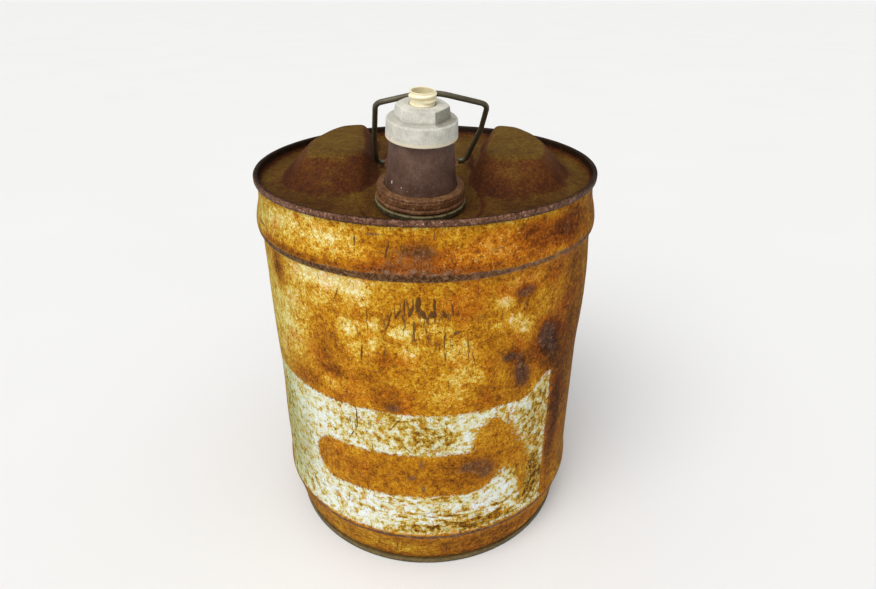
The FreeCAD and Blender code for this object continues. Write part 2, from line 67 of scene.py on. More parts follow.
# The spout's own frame: the collar's axis, with its origin in the middle of the seat.
SPOUT_Z = np.array(joint("collar_turn")["axis"])
SPOUT_Y = np.cross(SPOUT_Z, [1.0, 0.0, 0.0])
SPOUT_Y /= np.linalg.norm(SPOUT_Y)
SPOUT_X = np.cross(SPOUT_Y, SPOUT_Z)
COLLAR_ABOVE_SEAT = 11.0
SEAT = np.array(joint("collar_turn")["pos_m"]) / MM - COLLAR_ABOVE_SEAT * SPOUT_Z

# The handle's own frame: X along the bail's hinge line.
HINGE = np.array(joint("bail_swing")["pos_m"]) / MM
HINGE_X = -np.array(joint("bail_swing")["axis"])
HINGE_Z = np.array([0.0, 0.0, 1.0])
HINGE_Y = np.cross(HINGE_Z, HINGE_X)


# ---------------------------------------------------------------- meshes

def make_mesh(name, points, faces, material, body, replaced):
    """A closed piece of the given points in mm, its faces turned outwards."""
    mesh = bpy.data.meshes.new(name)
    mesh.from_pydata((np.asarray(points) * MM).tolist(), [], faces)
    mesh.calc_loop_triangles()
    corners = np.empty(3 * len(mesh.loop_triangles), np.int32)
    mesh.loop_triangles.foreach_get("vertices", corners)
    a, b, c = np.moveaxis(np.asarray(points)[corners.reshape(-1, 3)], 1, 0)
    if np.sum(a * np.cross(b, c)) < 0:
        mesh.flip_normals()
    mesh.polygons.foreach_set("use_smooth", [True] * len(mesh.polygons))
    piece = bpy.data.objects.new(name, mesh)
    bpy.context.scene.collection.objects.link(piece)
    mesh.materials.append(material)
    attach(piece, body)
    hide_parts(*replaced)
    return piece


def ring_quads(rings, sides):
    """Quads between each of the rings and the next, closed around."""
    quads = []
    for a, b in zip(rings, rings[1:]):
        for c in range(sides):
            d = (c + 1) % sides
            quads.append((a * sides + c, a * sides + d, b * sides + d, b * sides + c))
    return quads


def torus_faces(rows, columns):
    """A grid that closes both ways."""
    return ring_quads([*range(rows), 0], columns)


def tube_faces(rings, sides):
    """A grid that closes around its rings, with a cap at each end."""
    last = (rings - 1) * sides
    caps = [tuple(range(sides))[::-1], tuple(range(last, last + sides))]
    return ring_quads(range(rings), sides) + caps


def vertex_places(piece):
    """The piece's vertices in millimetres, one row each."""
    places = np.zeros(len(piece.data.vertices) * 3)
    piece.data.vertices.foreach_get("co", places)
    return places.reshape(-1, 3) / MM


def add_field(piece, name, values):
    attribute = piece.data.attributes.new(name, "FLOAT", "POINT")
    attribute.data.foreach_set("value", np.asarray(values, np.float32).ravel())


def rounded_outline(outline, rounding, step):
    """A closed (radius, height) outline: corners become arcs; a third value sets one's own."""
    count = len(outline)
    points = [np.array(p[:2], float) for p in outline]
    sizes = [p[2] if len(p) > 2 else rounding for p in outline]
    line = []
    for i in range(count):
        corner = points[i]
        before = points[i - 1] - corner
        after = points[(i + 1) % count] - corner
        reach_limit = 0.48 * min(np.linalg.norm(before), np.linalg.norm(after))
        before = before / np.linalg.norm(before)
        after = after / np.linalg.norm(after)
        half = math.acos(float(np.clip(before @ after, -1, 1))) / 2
        if half > math.radians(88):
            line.append(corner)
            continue
        reach = min(sizes[i] / math.tan(half), reach_limit)
        radius = reach * math.tan(half)
        centre = corner + (before + after) / np.linalg.norm(before + after) * radius / math.sin(half)
        start, end = corner + before * reach, corner + after * reach
        turns = max(2, int(math.ceil((math.pi - 2 * half) / math.radians(18))))
        for k in range(turns + 1):
            share = k / turns
            chord = start * (1 - share) + end * share
            out = chord - centre
            line.append(centre + out / max(np.linalg.norm(out), 1e-9) * radius)
    fine = []
    for a, b in zip(line, line[1:] + line[:1]):
        pieces = max(1, int(math.ceil(np.linalg.norm(b - a) / step)))
        fine += [a + (b - a) * k / pieces for k in range(pieces)]
    return np.array(fine)


def turned(name, outline, columns, material, body, replaced, rounding, step, reshape):
    """A watertight piece turned about the spout's axis; reshape(angle, r, h) puts in its details."""
    line = rounded_outline(outline, rounding, step)
    angle = np.arange(columns) * TAU / columns
    r = np.repeat(line[:, :1], columns, 1)
    h = np.repeat(line[:, 1:], columns, 1)
    angle = np.repeat(angle[None, :], len(line), 0)
    r, h = reshape(angle, r, h)
    x, y = r * np.sin(angle), -r * np.cos(angle)
    points = SEAT + x[..., None] * SPOUT_X + y[..., None] * SPOUT_Y + h[..., None] * SPOUT_Z
    faces = torus_faces(len(line), columns)
    return make_mesh(name, points.reshape(-1, 3), faces, material, body, replaced)


def smoothstep(low, high, value):
    t = np.clip((value - low) / (high - low), 0, 1)
    return t * t * (3 - 2 * t)


def lumps(points, size, seed):
    """Smooth noise between about -1 and 1 at each point, with lumps of that size in millimetres."""
    shift = Vector((seed * 17.3, seed * 5.1, seed * 9.7))
    return np.array([noise.noise(Vector(p) / size + shift) for p in points])


def thread_ridge(angle, h, low, turns, depth, half_width, pitch=3.0):
    """Height of a right-hand helical ridge, fading in and out at its ends."""
    along = (h - low) / pitch - angle / TAU
    nearest = np.clip(np.round(along), 0, math.ceil(turns))
    turn = nearest + angle / TAU
    away = np.abs(along - nearest) * pitch
    shape = np.clip(1.25 - away / half_width, 0, 1)
    ends = smoothstep(0, 0.12, turn) * smoothstep(0, 0.12, turns - turn)
    return depth * shape * shape * (3 - 2 * shape) * ends


# ---------------------------------------------------------------- material nodes

class Finish:
    """Builds one procedural material."""

    def __init__(self, name):
        self.material = bpy.data.materials.new(name)
        self.material.use_nodes = True
        self.tree = self.material.node_tree
        self.shader = self.tree.nodes["Principled BSDF"]
        self.place = self.node("ShaderNodeTexCoord").outputs["Object"]

    def node(self, kind, **values):
        made = self.tree.nodes.new(kind)
        for key, value in values.items():
            setattr(made, key, value)
        return made

    def put(self, socket, value):
        if isinstance(value, bpy.types.NodeSocket):
            self.tree.links.new(value, socket)
        elif isinstance(value, tuple) and len(value) == 3 and socket.type == "RGBA":
            socket.default_value = (*value, 1.0)
        else:
            socket.default_value = value

    def math(self, operation, a, b=0.0, c=0.0):
        made = self.node("ShaderNodeMath", operation=operation)
        for socket, value in zip(made.inputs, (a, b, c)):
            self.put(socket, value)
        return made.outputs[0]

    def add(self, *values):
        total = values[0]
        for value in values[1:]:
            total = self.math("ADD", total, value)
        return total

    def times(self, a, b):
        return self.math("MULTIPLY", a, b)

    def field(self, name):
        return self.node("ShaderNodeAttribute", attribute_name=name).outputs["Fac"]

    def stretched(self, x, y, z):
        made = self.node("ShaderNodeMapping")
        self.put(made.inputs["Vector"], self.place)
        made.inputs["Scale"].default_value = (x, y, z)
        return made.outputs[0]

    def noise(self, size, detail, rough, place=None, warp=0.0):
        """Noise from about -0.5 to 0.5, with lumps of about that size in millimetres."""
        made = self.node("ShaderNodeTexNoise")
        self.put(made.inputs["Vector"], place or self.place)
        made.inputs["Scale"].default_value = 1 / (size * MM)
        made.inputs["Detail"].default_value = detail
        made.inputs["Roughness"].default_value = rough
        made.inputs["Distortion"].default_value = warp
        return self.math("SUBTRACT", made.outputs["Fac"], 0.5)

    def step(self, value, low, high):
        """0 below low, 1 above high, smooth between; high may be the lower of the two."""
        made = self.node("ShaderNodeMapRange", interpolation_type="SMOOTHSTEP")
        self.put(made.inputs["Value"], value)
        self.put(made.inputs["From Min"], low)
        self.put(made.inputs["From Max"], high)
        return made.outputs["Result"]

    def ramp(self, value, *stops):
        made = self.node("ShaderNodeValToRGB")
        self.put(made.inputs["Fac"], value)
        elements = made.color_ramp.elements
        while len(elements) < len(stops):
            elements.new(0.5)
        for element, (position, colour) in zip(elements, stops):
            element.position = position
            element.color = (*colour, 1.0)
        return made.outputs["Color"]

    def mix(self, share, a, b, blend="MIX"):
        made = self.node("ShaderNodeMix", data_type="RGBA", blend_type=blend)
        self.put(made.inputs[0], share)
        self.put(made.inputs[6], a)
        self.put(made.inputs[7], b)
        return made.outputs[2]

    def up(self):
        """How much the surface faces up, from -1 to 1."""
        split = self.node("ShaderNodeSeparateXYZ")
        self.put(split.inputs[0], self.node("ShaderNodeNewGeometry").outputs["Normal"])
        return split.outputs["Z"]

    def height(self):
        split = self.node("ShaderNodeSeparateXYZ")
        self.put(split.inputs[0], self.place)
        return split.outputs["Z"]

    def tinted(self, share, colour, tint):
        """The colour, with a share of it multiplied by a tint."""
        return self.mix(share, colour, self.mix(1.0, colour, tint, "MULTIPLY"))

    def finish(self, colour, roughness, relief=None, depth=0.1, metallic=0.0, **uniform):
        """relief is a height from about 0 to 1, and depth its size in millimetres."""
        self.put(self.shader.inputs["Base Color"], colour)
        self.put(self.shader.inputs["Roughness"], roughness)
        self.put(self.shader.inputs["Metallic"], metallic)
        for key, value in uniform.items():
            self.shader.inputs[key.replace("_", " ")].default_value = value
        if relief is not None:
            bump = self.node("ShaderNodeBump")
            bump.inputs["Distance"].default_value = depth * MM
            self.put(bump.inputs["Height"], relief)
            self.put(self.shader.inputs["Normal"], bump.outputs[0])
        return self.material


# ---------------------------------------------------------------- painted body

# The wall's outer face: radius and height, from the foot up.
BODY_LINE = [
    (133.2, 2.0), (133.4, 6.4), (136.8, 10.0), (138.7, 20.0), (140.6, 30.0), (142.0, 36.0),
    (143.3, 40.0), (144.5, 43.5), (144.4, 48.0), (143.5, 55.0), (143.0, 66.0),
    (143.0, 287.0), (143.2, 290.0), (144.0, 293.0), (145.7, 295.6), (146.6, 298.5),
    (146.8, 301.5), (146.3, 306.0), (145.2, 311.0), (143.8, 316.0), (142.9, 321.0),
    (142.5, 327.0), (142.5, 338.2),
]
WIDEST = 146.9
SHEET = 0.6
SEAM_START = 94.0
SEAM_END = 96.2
# How finely the wall is cut up: rings outside and inside, and columns beside the seam's own.
OUTER_RINGS = 138
INNER_RINGS = 34
PLAIN_COLUMNS = 446

# Dents and bulges of the wall: azimuth, height, half width (degrees), half height, mm outwards.
DENTS = [
    (76, 240, 16, 42, 2.6), (-74, 150, 14, 30, -1.2), (-30, 205, 9, 16, -0.8),
    (14, 120, 12, 20, -0.6), (38, 200, 8, 22, -0.9), (150, 170, 14, 30, -1.8),
    (-128, 230, 12, 24, -1.6), (-165, 100, 10, 20, -1.2), (120, 90, 9, 14, -1.0),
    (48, 30, 8, 8, -0.8), (-20, 26, 7, 8, -0.7), (2, 312, 7, 8, -0.5), (-58, 308, 8, 9, -0.6),
]


def blob(azimuth, z, spot):
    """A soft patch: azimuth, height, half width in degrees, half height, amount."""
    centre, level, half_width, half_height, amount = spot
    away = (azimuth - centre + 180) % 360 - 180
    distance = (away / half_width) ** 2 + ((z - level) / half_height) ** 2
    return amount * np.exp(-distance ** 1.5)


def blobs(azimuth, z, spots, base=0.0):
    """The sum of soft patches over an even base."""
    total = np.full_like(azimuth, base)
    for spot in spots:
        total += blob(azimuth, z, spot)
    return total


def blob_flat(points, spot):
    """A soft patch seen from above: x, y, half width, half depth, amount."""
    x, y, half_width, half_depth, amount = spot
    distance = ((points[:, 0] - x) / half_width) ** 2 + ((points[:, 1] - y) / half_depth) ** 2
    return amount * np.exp(-distance ** 1.5)


def body_grid():
    """The wall's outer line, rounded, with rings closer together where it bends."""
    line = np.array(BODY_LINE)
    walked = np.concatenate([[0], np.cumsum(np.hypot(*np.diff(line, axis=0).T))])
    pitch, softness, reach = 0.5, 1.3, 6
    fine = np.arange(0, walked[-1], pitch)
    r = np.interp(fine, walked, line[:, 0])
    z = np.interp(fine, walked, line[:, 1])
    window = np.exp(-(np.arange(-reach, reach + 1) * pitch / softness) ** 2 / 2)
    r = np.convolve(np.pad(r, reach, "edge"), window / window.sum(), "valid")
    bend = np.abs(np.gradient(np.gradient(r, fine), fine))
    pace = 1 / np.clip(3.2 - 60 * bend, 0.9, 3.2)
    share = np.concatenate([[0], np.cumsum(pace[1:])])
    picks = np.interp(np.linspace(0, share[-1], OUTER_RINGS), share, fine)
    return np.interp(picks, fine, r), np.interp(picks, fine, z)


def build_body(material):
    """The rolled wall, with an inner face a sheet's thickness behind and the side seam's lap."""
    outer_r, outer_z = body_grid()
    back = np.linspace(OUTER_RINGS - 1, 0, INNER_RINGS).round().astype(int)
    inner_r, inner_z = outer_r[back] - SHEET, outer_z[back]
    r_line = np.concatenate([outer_r, inner_r])
    z_line = np.concatenate([outer_z, inner_z])
    beside = 0.8
    plain = np.linspace(SEAM_END + beside, SEAM_START + 360 - beside, PLAIN_COLUMNS)
    lap = np.array([SEAM_START - 0.02, SEAM_START, SEAM_START + 0.35, SEAM_START + 1.1,
                    SEAM_END - 0.35, SEAM_END, SEAM_END + 0.02])
    azimuth_line = np.concatenate([lap, plain])
    azimuth, z = np.meshgrid(azimuth_line, z_line)
    r = np.repeat(r_line[:, None], len(azimuth_line), 1)
    inside = np.repeat((np.arange(len(r_line)) >= OUTER_RINGS)[:, None], len(azimuth_line), 1)
    lift = blobs(azimuth, z, DENTS)
    turn = np.radians(azimuth)
    flat = np.stack([BODY_RADIUS * np.sin(turn), -BODY_RADIUS * np.cos(turn), z], -1).reshape(-1, 3)
    lift += 0.35 * lumps(flat, 46.0, 1).reshape(r.shape)
    lift += 0.12 * lumps(flat, 13.0, 2).reshape(r.shape)
    away_from_the_seams = smoothstep(6, 14, z) * smoothstep(334, 324, z)
    r = r + lift * away_from_the_seams
    in_lap = (azimuth > SEAM_START - 0.01) & (azimuth < SEAM_END + 0.01) & ~inside
    lapped = smoothstep(333.6, 332.6, z) * smoothstep(8, 11, z)
    r = r + np.where(in_lap, SHEET * lapped, 0)
    r = np.minimum(r, np.where(inside, WIDEST - SHEET, WIDEST))
    points = np.stack([r * np.sin(turn), -r * np.cos(turn), z], -1).reshape(-1, 3)
    faces = torus_faces(len(r_line), len(azimuth_line))
    piece = make_mesh("painted_body_sheet", points, faces, material, "can",
                      ["body_shell"])
    for name, values in body_fields((azimuth + 180) % 360 - 180, z).items():
        add_field(piece, name, values)
    places = vertex_places(piece)
    turned_by = np.degrees(np.arctan2(places[:, 0], -places[:, 1]))
    turned_by = (turned_by - SEAM_START + 0.01) % 360 + SEAM_START - 0.01
    turned_by = np.where(turned_by > 180, turned_by - 360, turned_by)
    add_field(piece, "along", np.radians(turned_by) * BODY_RADIUS)
    add_field(piece, "level", places[:, 2])


# Patches of the paint: azimuth, height, half width (degrees), half height, change in tone.
# Tone 0 is dark rust, 0.5 orange, 0.75 yellow ochre and 1 pale cream.
TONE_PATCHES = [
    # band above the bead
    (-60, 318, 14, 15, 0.20), (-38, 322, 16, 12, 0.22), (-22, 318, 9, 12, 0.14),
    (-6, 316, 7, 10, -0.08), (2, 316, 5, 9, -0.14), (12, 314, 9, 10, -0.02),
    (22, 322, 8, 8, 0.02), (38, 320, 9, 12, -0.20), (52, 318, 8, 14, -0.26), (10, 304, 24, 4, -0.12),
    (66, 318, 9, 14, -0.1), (-42, 303, 18, 3, -0.2), (-14, 305, 10, 4, -0.1),
    # cream showing below the bead, left of the middle
    (-26, 288, 12, 9, 0.44), (-38, 284, 8, 12, 0.22), (-17, 282, 4, 12, 0.28), (-6, 291, 8, 4, 0.1),
    (-30, 270, 8, 8, 0.16),
    # left side
    (-62, 240, 14, 50, 0.24), (-46, 240, 9, 34, 0.18), (-52, 277, 4, 15, -0.3),
    (-40, 262, 5, 10, 0.12), (-34, 280, 3, 6, -0.14), (-58, 200, 8, 12, 0.1),
    # lighter middle
    (-21, 252, 4, 7, 0.3), (-13, 256, 3, 6, 0.28), (-12, 242, 3, 4, 0.2), (-4, 252, 5, 6, 0.32),
    (6, 255, 4, 5, 0.24), (3, 264, 5, 3, 0.2), (-18, 235, 6, 8, 0.16), (-2, 236, 5, 7, 0.18),
    (12, 236, 6, 10, 0.2), (16, 215, 6, 12, 0.16), (8, 205, 8, 10, 0.08), (12, 192, 8, 7, 0.1),
    (-30, 195, 4, 8, 0.12), (-24, 218, 3, 6, 0.05), (0, 222, 4, 6, 0.06),
    # browner places
    (-30, 225, 7, 18, -0.1), (-29, 207, 5, 7, -0.14), (-10, 228, 4, 8, -0.12), (-16, 210, 6, 8, -0.1),
    (-10, 196, 5, 9, -0.12), (-8, 184, 4, 6, -0.2), (0, 186, 5, 5, -0.08), (-40, 190, 8, 9, -0.12),
    (22, 190, 6, 12, -0.08), (24, 230, 5, 24, -0.06), (15, 272, 9, 14, -0.04), (-24, 184, 4, 5, -0.06),
    # right side
    (27, 271, 3, 6, 0.34), (30, 256, 3, 5, 0.26), (34, 246, 4, 8, 0.22), (25, 252, 2, 4, 0.2),
    (38, 235, 3, 8, 0.1), (33, 286, 6, 5, 0.08), (34, 276, 5, 7, -0.22), (45, 285, 6, 10, -0.12),
    (42, 266, 6, 6, -0.02), (45, 228, 7, 18, -0.30), (48, 206, 6, 18, -0.26), (35, 205, 5, 20, -0.24),
    (30, 222, 3, 6, -0.24), (58, 200, 8, 90, -0.2), (54, 120, 5, 70, -0.22), (68, 160, 8, 110, -0.08),
    (58, 285, 8, 14, -0.1), (82, 200, 12, 120, -0.14),
    # inside the panel
    (-8, 113, 26, 22, -0.08), (14, 113, 10, 22, -0.10), (24, 120, 8, 20, -0.07), (30, 160, 6, 14, -0.02),
    # below the step
    (-30, 27, 20, 12, 0.06), (-8, 22, 9, 7, 0.12), (12, 26, 12, 12, -0.06), (34, 26, 14, 12, -0.12),
    (0, 10, 90, 4, -0.14),
    # back
    (98, 190, 3, 130, -0.10), (125, 316, 20, 10, -0.16), (-160, 318, 26, 10, 0.16),
    (-100, 314, 16, 10, -0.14), (172, 290, 10, 8, -0.18), (150, 60, 26, 10, -0.14),
    (-130, 62, 30, 12, 0.14), (-175, 215, 6, 40, -0.10),
    (120, 260, 16, 26, 0.20), (160, 220, 20, 30, 0.26), (-150, 260, 16, 24, 0.22),
    (-110, 200, 16, 50, 0.2), (-125, 120, 12, 26, -0.14), (175, 110, 16, 30, -0.16),
    (135, 140, 12, 30, 0.18), (105, 90, 10, 22, -0.1), (-165, 170, 10, 22, -0.12),
    (-95, 90, 10, 26, 0.16),
]

# Tone of the pale panel on the front: 0 ochre stain, 0.6 cream, 1 white.
PANEL_PATCHES = [
    (-36, 155, 6, 16, 0.3), (-20, 158, 8, 12, 0.12), (-8, 152, 8, 12, 0.1), (4, 152, 8, 16, -0.12),
    (17, 156, 5, 14, 0.24), (24, 172, 5, 4, 0.28), (30, 170, 3, 5, 0.2), (42, 150, 6, 28, -0.14),
    (44, 80, 6, 26, -0.34), (38, 105, 4, 14, -0.24), (-22, 76, 16, 18, 0.24), (28, 80, 9, 10, 0.30),
    (4, 76, 8, 8, 0.1), (14, 64, 10, 6, 0.12), (20, 52, 18, 5, -0.26), (-2, 54, 8, 5, -0.16),
    (-56, 110, 10, 70, -0.26), (-44, 112, 5, 60, -0.12), (34, 62, 4, 6, 0.2), (-30, 84, 6, 5, -0.1),
]

# How whole the panel's white enamel is: azimuth, height, half width, half height, change.
ENAMEL_PATCHES = [
    (-5, 158, 22, 22, -0.05), (4, 148, 10, 10, -0.05), (-24, 70, 16, 22, 0.07), (-48, 110, 14, 66, 0.04),
    (26, 80, 10, 10, 0.08), (4, 76, 12, 8, 0.05), (43, 150, 7, 40, -0.11), (44, 80, 7, 28, -0.19),
    (16, 54, 22, 6, -0.13), (-12, 52, 16, 4, -0.07), (36, 104, 5, 16, -0.14), (18, 160, 5, 14, 0.03),
    (-36, 156, 6, 14, 0.05), (-33, 128, 4, 12, 0.04), (12, 90, 14, 4, -0.06), (-62, 112, 5, 64, -0.07),
]

# Where scratches run up and down, where the rust is redder and where scratches run around:
# azimuth, height, half width, half height, strength.
SCRATCHED = [
    (1, 272, 9, 10, 0.36), (-7, 263, 5, 8, 0.30), (9, 268, 6, 5, 0.34), (-1, 252, 12, 16, 0.22),
    (8, 240, 14, 24, 0.14), (-22, 165, 7, 14, 0.30), (-22, 240, 10, 30, 0.14), (-28, 90, 20, 40, 0.16),
    (2, 316, 10, 12, 0.30), (-20, 318, 6, 8, 0.25), (40, 150, 8, 50, 0.14), (-48, 230, 12, 50, 0.10),
    (160, 220, 16, 40, 0.32), (-130, 180, 20, 60, 0.28), (-6, 25, 14, 14, 0.2), (110, 200, 14, 60, 0.24),
]
REDDENED = [
    (36, 316, 26, 14, 0.34), (8, 308, 24, 10, 0.26), (40, 285, 18, 14, 0.22), (42, 232, 14, 24, 0.18),
    (14, 276, 16, 14, 0.12), (24, 120, 8, 30, 0.10), (-14, 190, 30, 14, 0.08), (56, 150, 8, 90, 0.10),
    (-30, 220, 8, 16, 0.12),
]
DRAGGED = [
    (6, 68, 34, 8, 0.34), (-10, 84, 30, 6, 0.20), (0, 308, 40, 8, 0.24), (-52, 309, 14, 4, 0.42),
    (20, 56, 24, 6, 0.30), (0, 28, 70, 12, 0.16), (26, 316, 20, 14, 0.18), (-34, 118, 10, 22, 0.16),
    (-60, 188, 12, 5, 0.4), (150, 120, 30, 20, 0.25),
]

# Rust that breaks through the panel: azimuth, height, half width, half height, millimetres taken.
PANEL_BREAKS = [
    (26, 148, 7.0, 17, 14), (24, 132, 6.0, 10, 13), (23, 116, 6.5, 16, 12),
    (32, 128, 6.0, 14, 13), (37, 112, 4.5, 12, 10), (39, 94, 3.2, 12, 8),
    (22, 142, 3.5, 7, 8), (25.5, 163, 2.0, 5, 7), (31, 110, 4.0, 8, 6), (38.5, 76, 2.0, 16, 7),
    (-13, 170, 1.6, 5, 5), (-20, 163, 0.5, 14, 6), (16, 71, 5, 1.6, 5), (28, 70, 8, 1.2, 5),
    (-5, 71, 3.5, 1.0, 4.5), (-12, 64.5, 14, 0.9, 4.5), (10, 62, 6, 1.2, 4.5), (20, 60, 5, 1.6, 5),
    (-31, 70, 3, 3, 4), (-28, 60, 4, 1.6, 4), (2, 168, 3, 2.5, 4), (8, 142, 4, 3, 4.5),
    (43, 122, 2, 4, 5), (41, 142, 1.6, 3, 4), (46, 108, 3, 5, 5), (30, 56, 10, 2, 5),
]

# Dark purple-brown stains: azimuth, height, half width, half height, strength.
STAINS = [
    (1, 318, 4.5, 9, 0.6), (-6, 315, 3.5, 8, 0.45), (-12, 328, 2.2, 2, 0.8), (7, 312, 5, 7, 0.4),
    (-17, 323, 0.6, 4, 0.6), (50, 316, 5, 8, 0.45), (-61, 309, 6, 0.9, 0.9), (-43, 308, 5, 0.8, 0.8),
    (24, 316, 3, 4, 0.3), (-3, 306, 10, 4, 0.45), (14, 303, 8, 3, 0.4), (-24, 313, 1.5, 3, 0.4),
    (34, 276, 5, 7, 0.62), (32, 285, 3, 3, 0.3), (45, 229, 4.6, 13, 0.95), (49, 213, 3, 12, 0.6),
    (29.5, 222, 3.2, 5, 0.8), (34, 212, 2.6, 12, 0.7), (36, 196, 4.0, 12, 0.75), (46, 268, 3.6, 6, 0.3),
    (12, 252, 1.3, 2.4, 0.95), (18, 262, 3.4, 4, 0.42), (-8, 183, 3.6, 5, 0.62), (-30, 207, 3, 4, 0.4),
    (-6, 224, 3, 4, 0.3), (-16, 209, 2.4, 3, 0.32), (-43, 183, 3, 6, 0.5), (-56, 185.5, 6, 1.4, 0.85),
    (0.8, 126, 0.9, 6, 0.75), (-2.5, 112, 2.4, 3.4, 0.75), (-9, 112, 4.0, 1.8, 0.4), (8, 108, 5, 1.5, 0.35),
    (20, 118, 7, 14, 0.5), (24, 110, 4, 12, 0.35), (-24, 110, 3.4, 5, 0.3), (1.4, 99, 1.0, 8, 0.55),
    (15, 122, 5, 7, 0.3), (-61, 252, 1.4, 2, 0.5), (27, 285, 2.4, 6, 0.35), (-13, 166, 1.4, 3.5, 0.5),
    (-23, 150, 1.2, 2.2, 0.4), (41, 143, 1.2, 2.4, 0.4), (130, 210, 8, 14, 0.6), (170, 150, 7, 20, 0.5),
    (-140, 190, 7, 12, 0.6), (-100, 250, 6, 10, 0.4), (-175, 280, 8, 6, 0.5), (110, 150, 5, 10, 0.5),
    (-120, 100, 8, 10, 0.7), (145, 70, 8, 8, 0.8), (66, 120, 5, 30, 0.22), (54, 110, 3.5, 26, 0.45),
    (99, 240, 2, 30, 0.7), (100, 110, 2, 20, 0.6), (118, 178, 4, 5, 0.8), (-158, 140, 5, 16, 0.7),
    (178, 245, 3, 9, 0.7), (-118, 215, 3, 14, 0.7), (-90, 160, 3, 8, 0.7), (-82, 255, 4, 5, 0.6),
]

# The pale panel with a rounded bar left open in it, and the two dark lines around the body.
PANEL_LEFT, PANEL_RIGHT = -66.0, 49.4
PANEL_LOW, PANEL_HIGH = 47.5, 178.5
SLOT_LEFT, SLOT_RIGHT, SLOT_LEVEL, SLOT_HALF = -30.6, 18.2, 113.2, 22.2
BEAD_LINE = 297.6
STEP_LINE = 43.2
FARTHEST = 30.0


def panel_edges(azimuth, z):
    """Millimetres inside the panel's outline and outside its bar, up to a limit."""
    along = np.radians(azimuth) * BODY_RADIUS
    left, right, bar_left, bar_right = (
        math.radians(a) * BODY_RADIUS for a in (PANEL_LEFT, PANEL_RIGHT, SLOT_LEFT, SLOT_RIGHT))
    top = PANEL_HIGH + 13.0 * smoothstep(37.5, 47.0, azimuth) - 2.0 * smoothstep(-20, 10, azimuth)
    panel = np.minimum.reduce([top - z, z - PANEL_LOW, right - along, (along - left) * 0.5])
    beyond = np.maximum(np.maximum(bar_left - along, along - bar_right), 0)
    slot_edge = np.hypot(beyond, z - SLOT_LEVEL) - SLOT_HALF
    return np.clip(panel, -FARTHEST, FARTHEST), np.clip(slot_edge, -FARTHEST, FARTHEST)


def dark_lines(azimuth, z):
    """Bare rust along the lap seam, and bare rust with painted shade in the bend under the bead and around
    the step.
    """
    bead = np.exp(-((z - BEAD_LINE - 1.4 * smoothstep(5, 40, azimuth)) / 3.0) ** 4)
    bead *= 1.15 - 0.55 * smoothstep(6, 30, azimuth)
    seam = 0.62 * np.exp(-((azimuth - SEAM_END - 0.4) / 0.55) ** 2)
    worn = 0.56 * np.exp(-((z - BEAD_LINE - 4.9) / 4.0) ** 2) * np.exp(-((azimuth + 4) / 24) ** 2)
    step = 0.8 * np.exp(-((z - STEP_LINE) / 2.4) ** 4)
    return np.maximum(bead + seam + worn, step)


def body_fields(azimuth, z):
    """What the body's material reads: tone, panel edge, stains and so on, for each vertex."""
    tone = blobs(azimuth, z, TONE_PATCHES, 0.5) - 0.05 * smoothstep(48, 40, z)
    under_chime = 0.42 * np.exp(-((z - 333.4) / 1.3) ** 2)
    under_chime *= smoothstep(52, 34, np.abs(azimuth)) * smoothstep(-90, -60, azimuth)
    olive = smoothstep(-30, -66, azimuth) + 0.85 * smoothstep(48, 70, azimuth)
    olive += 0.6 * smoothstep(46, 30, z) * smoothstep(36, 16, azimuth)
    panel, slot_edge = panel_edges(azimuth, z)
    return {
        "tone": tone + under_chime,
        "enamel": blobs(azimuth, z, ENAMEL_PATCHES, 0.055),
        "panel": panel,
        "slot_edge": slot_edge,
        "panel_tone": blobs(azimuth, z, PANEL_PATCHES, 0.62),
        "breaks": blobs(azimuth, z, PANEL_BREAKS),
        "stain": blobs(azimuth, z, STAINS),
        "scratched": blobs(azimuth, z, SCRATCHED),
        "dragged": blobs(azimuth, z, DRAGGED),
        "reddened": blobs(azimuth, z, REDDENED),
        "rust_and_shade_line": dark_lines(azimuth, z),
        "olive": np.clip(olive, 0, 1),
    }


# Single deep scratches: azimuth, height, half width, half height (mm), lean, strength.
STROKES = [
    (-7.6, 264, 0.9, 7.0, -0.25, 0.9), (-5.2, 268, 1.6, 5.0, -0.5, 0.8), (-3.2, 273, 0.9, 9.0, 0.0, 0.95),
    (-1.4, 270, 1.8, 5.5, -0.3, 0.8), (0.8, 276, 2.4, 8.0, -0.1, 1.0), (2.2, 269, 2.2, 4.5, 0.4, 0.9),
    (5.4, 276, 1.2, 7.5, 0.0, 0.9), (5.0, 268, 3.4, 3.2, 0.0, 0.85), (8.2, 268, 2.6, 3.4, 0.3, 0.75),
    (10.6, 271, 0.9, 7.0, 0.1, 0.6), (-0.6, 254, 0.7, 10.0, 0.0, 0.85), (-8.4, 257, 0.8, 5.0, -0.4, 0.7),
    (-17, 231, 0.8, 9.0, -0.1, 0.8), (-24.5, 276, 0.6, 12.0, -0.35, 0.6), (-14.5, 262, 0.5, 16.0, 0.0, 0.5),
    (8.4, 247, 0.6, 12.0, 0.0, 0.6), (15.6, 238, 0.6, 15.0, 0.05, 0.55), (17.4, 228, 0.5, 10.0, 0.2, 0.5),
    (-20.4, 167, 0.8, 14.0, 0.0, 0.8), (-21.0, 157, 0.8, 5.0, 0.2, 0.6), (-7.0, 168, 0.6, 10.0, -0.7, 0.6),
    (-3.4, 142, 0.8, 4.5, 0.9, 0.7), (-22.5, 150, 0.9, 6.0, -0.5, 0.5), (-8.6, 26, 0.8, 10.0, 0.0, 0.5),
    (9.8, 24, 0.7, 7.0, 0.0, 0.5), (-16.8, 322, 0.7, 5.0, -0.1, 0.7), (-7.5, 318, 0.9, 9.0, -0.2, 0.6),
]


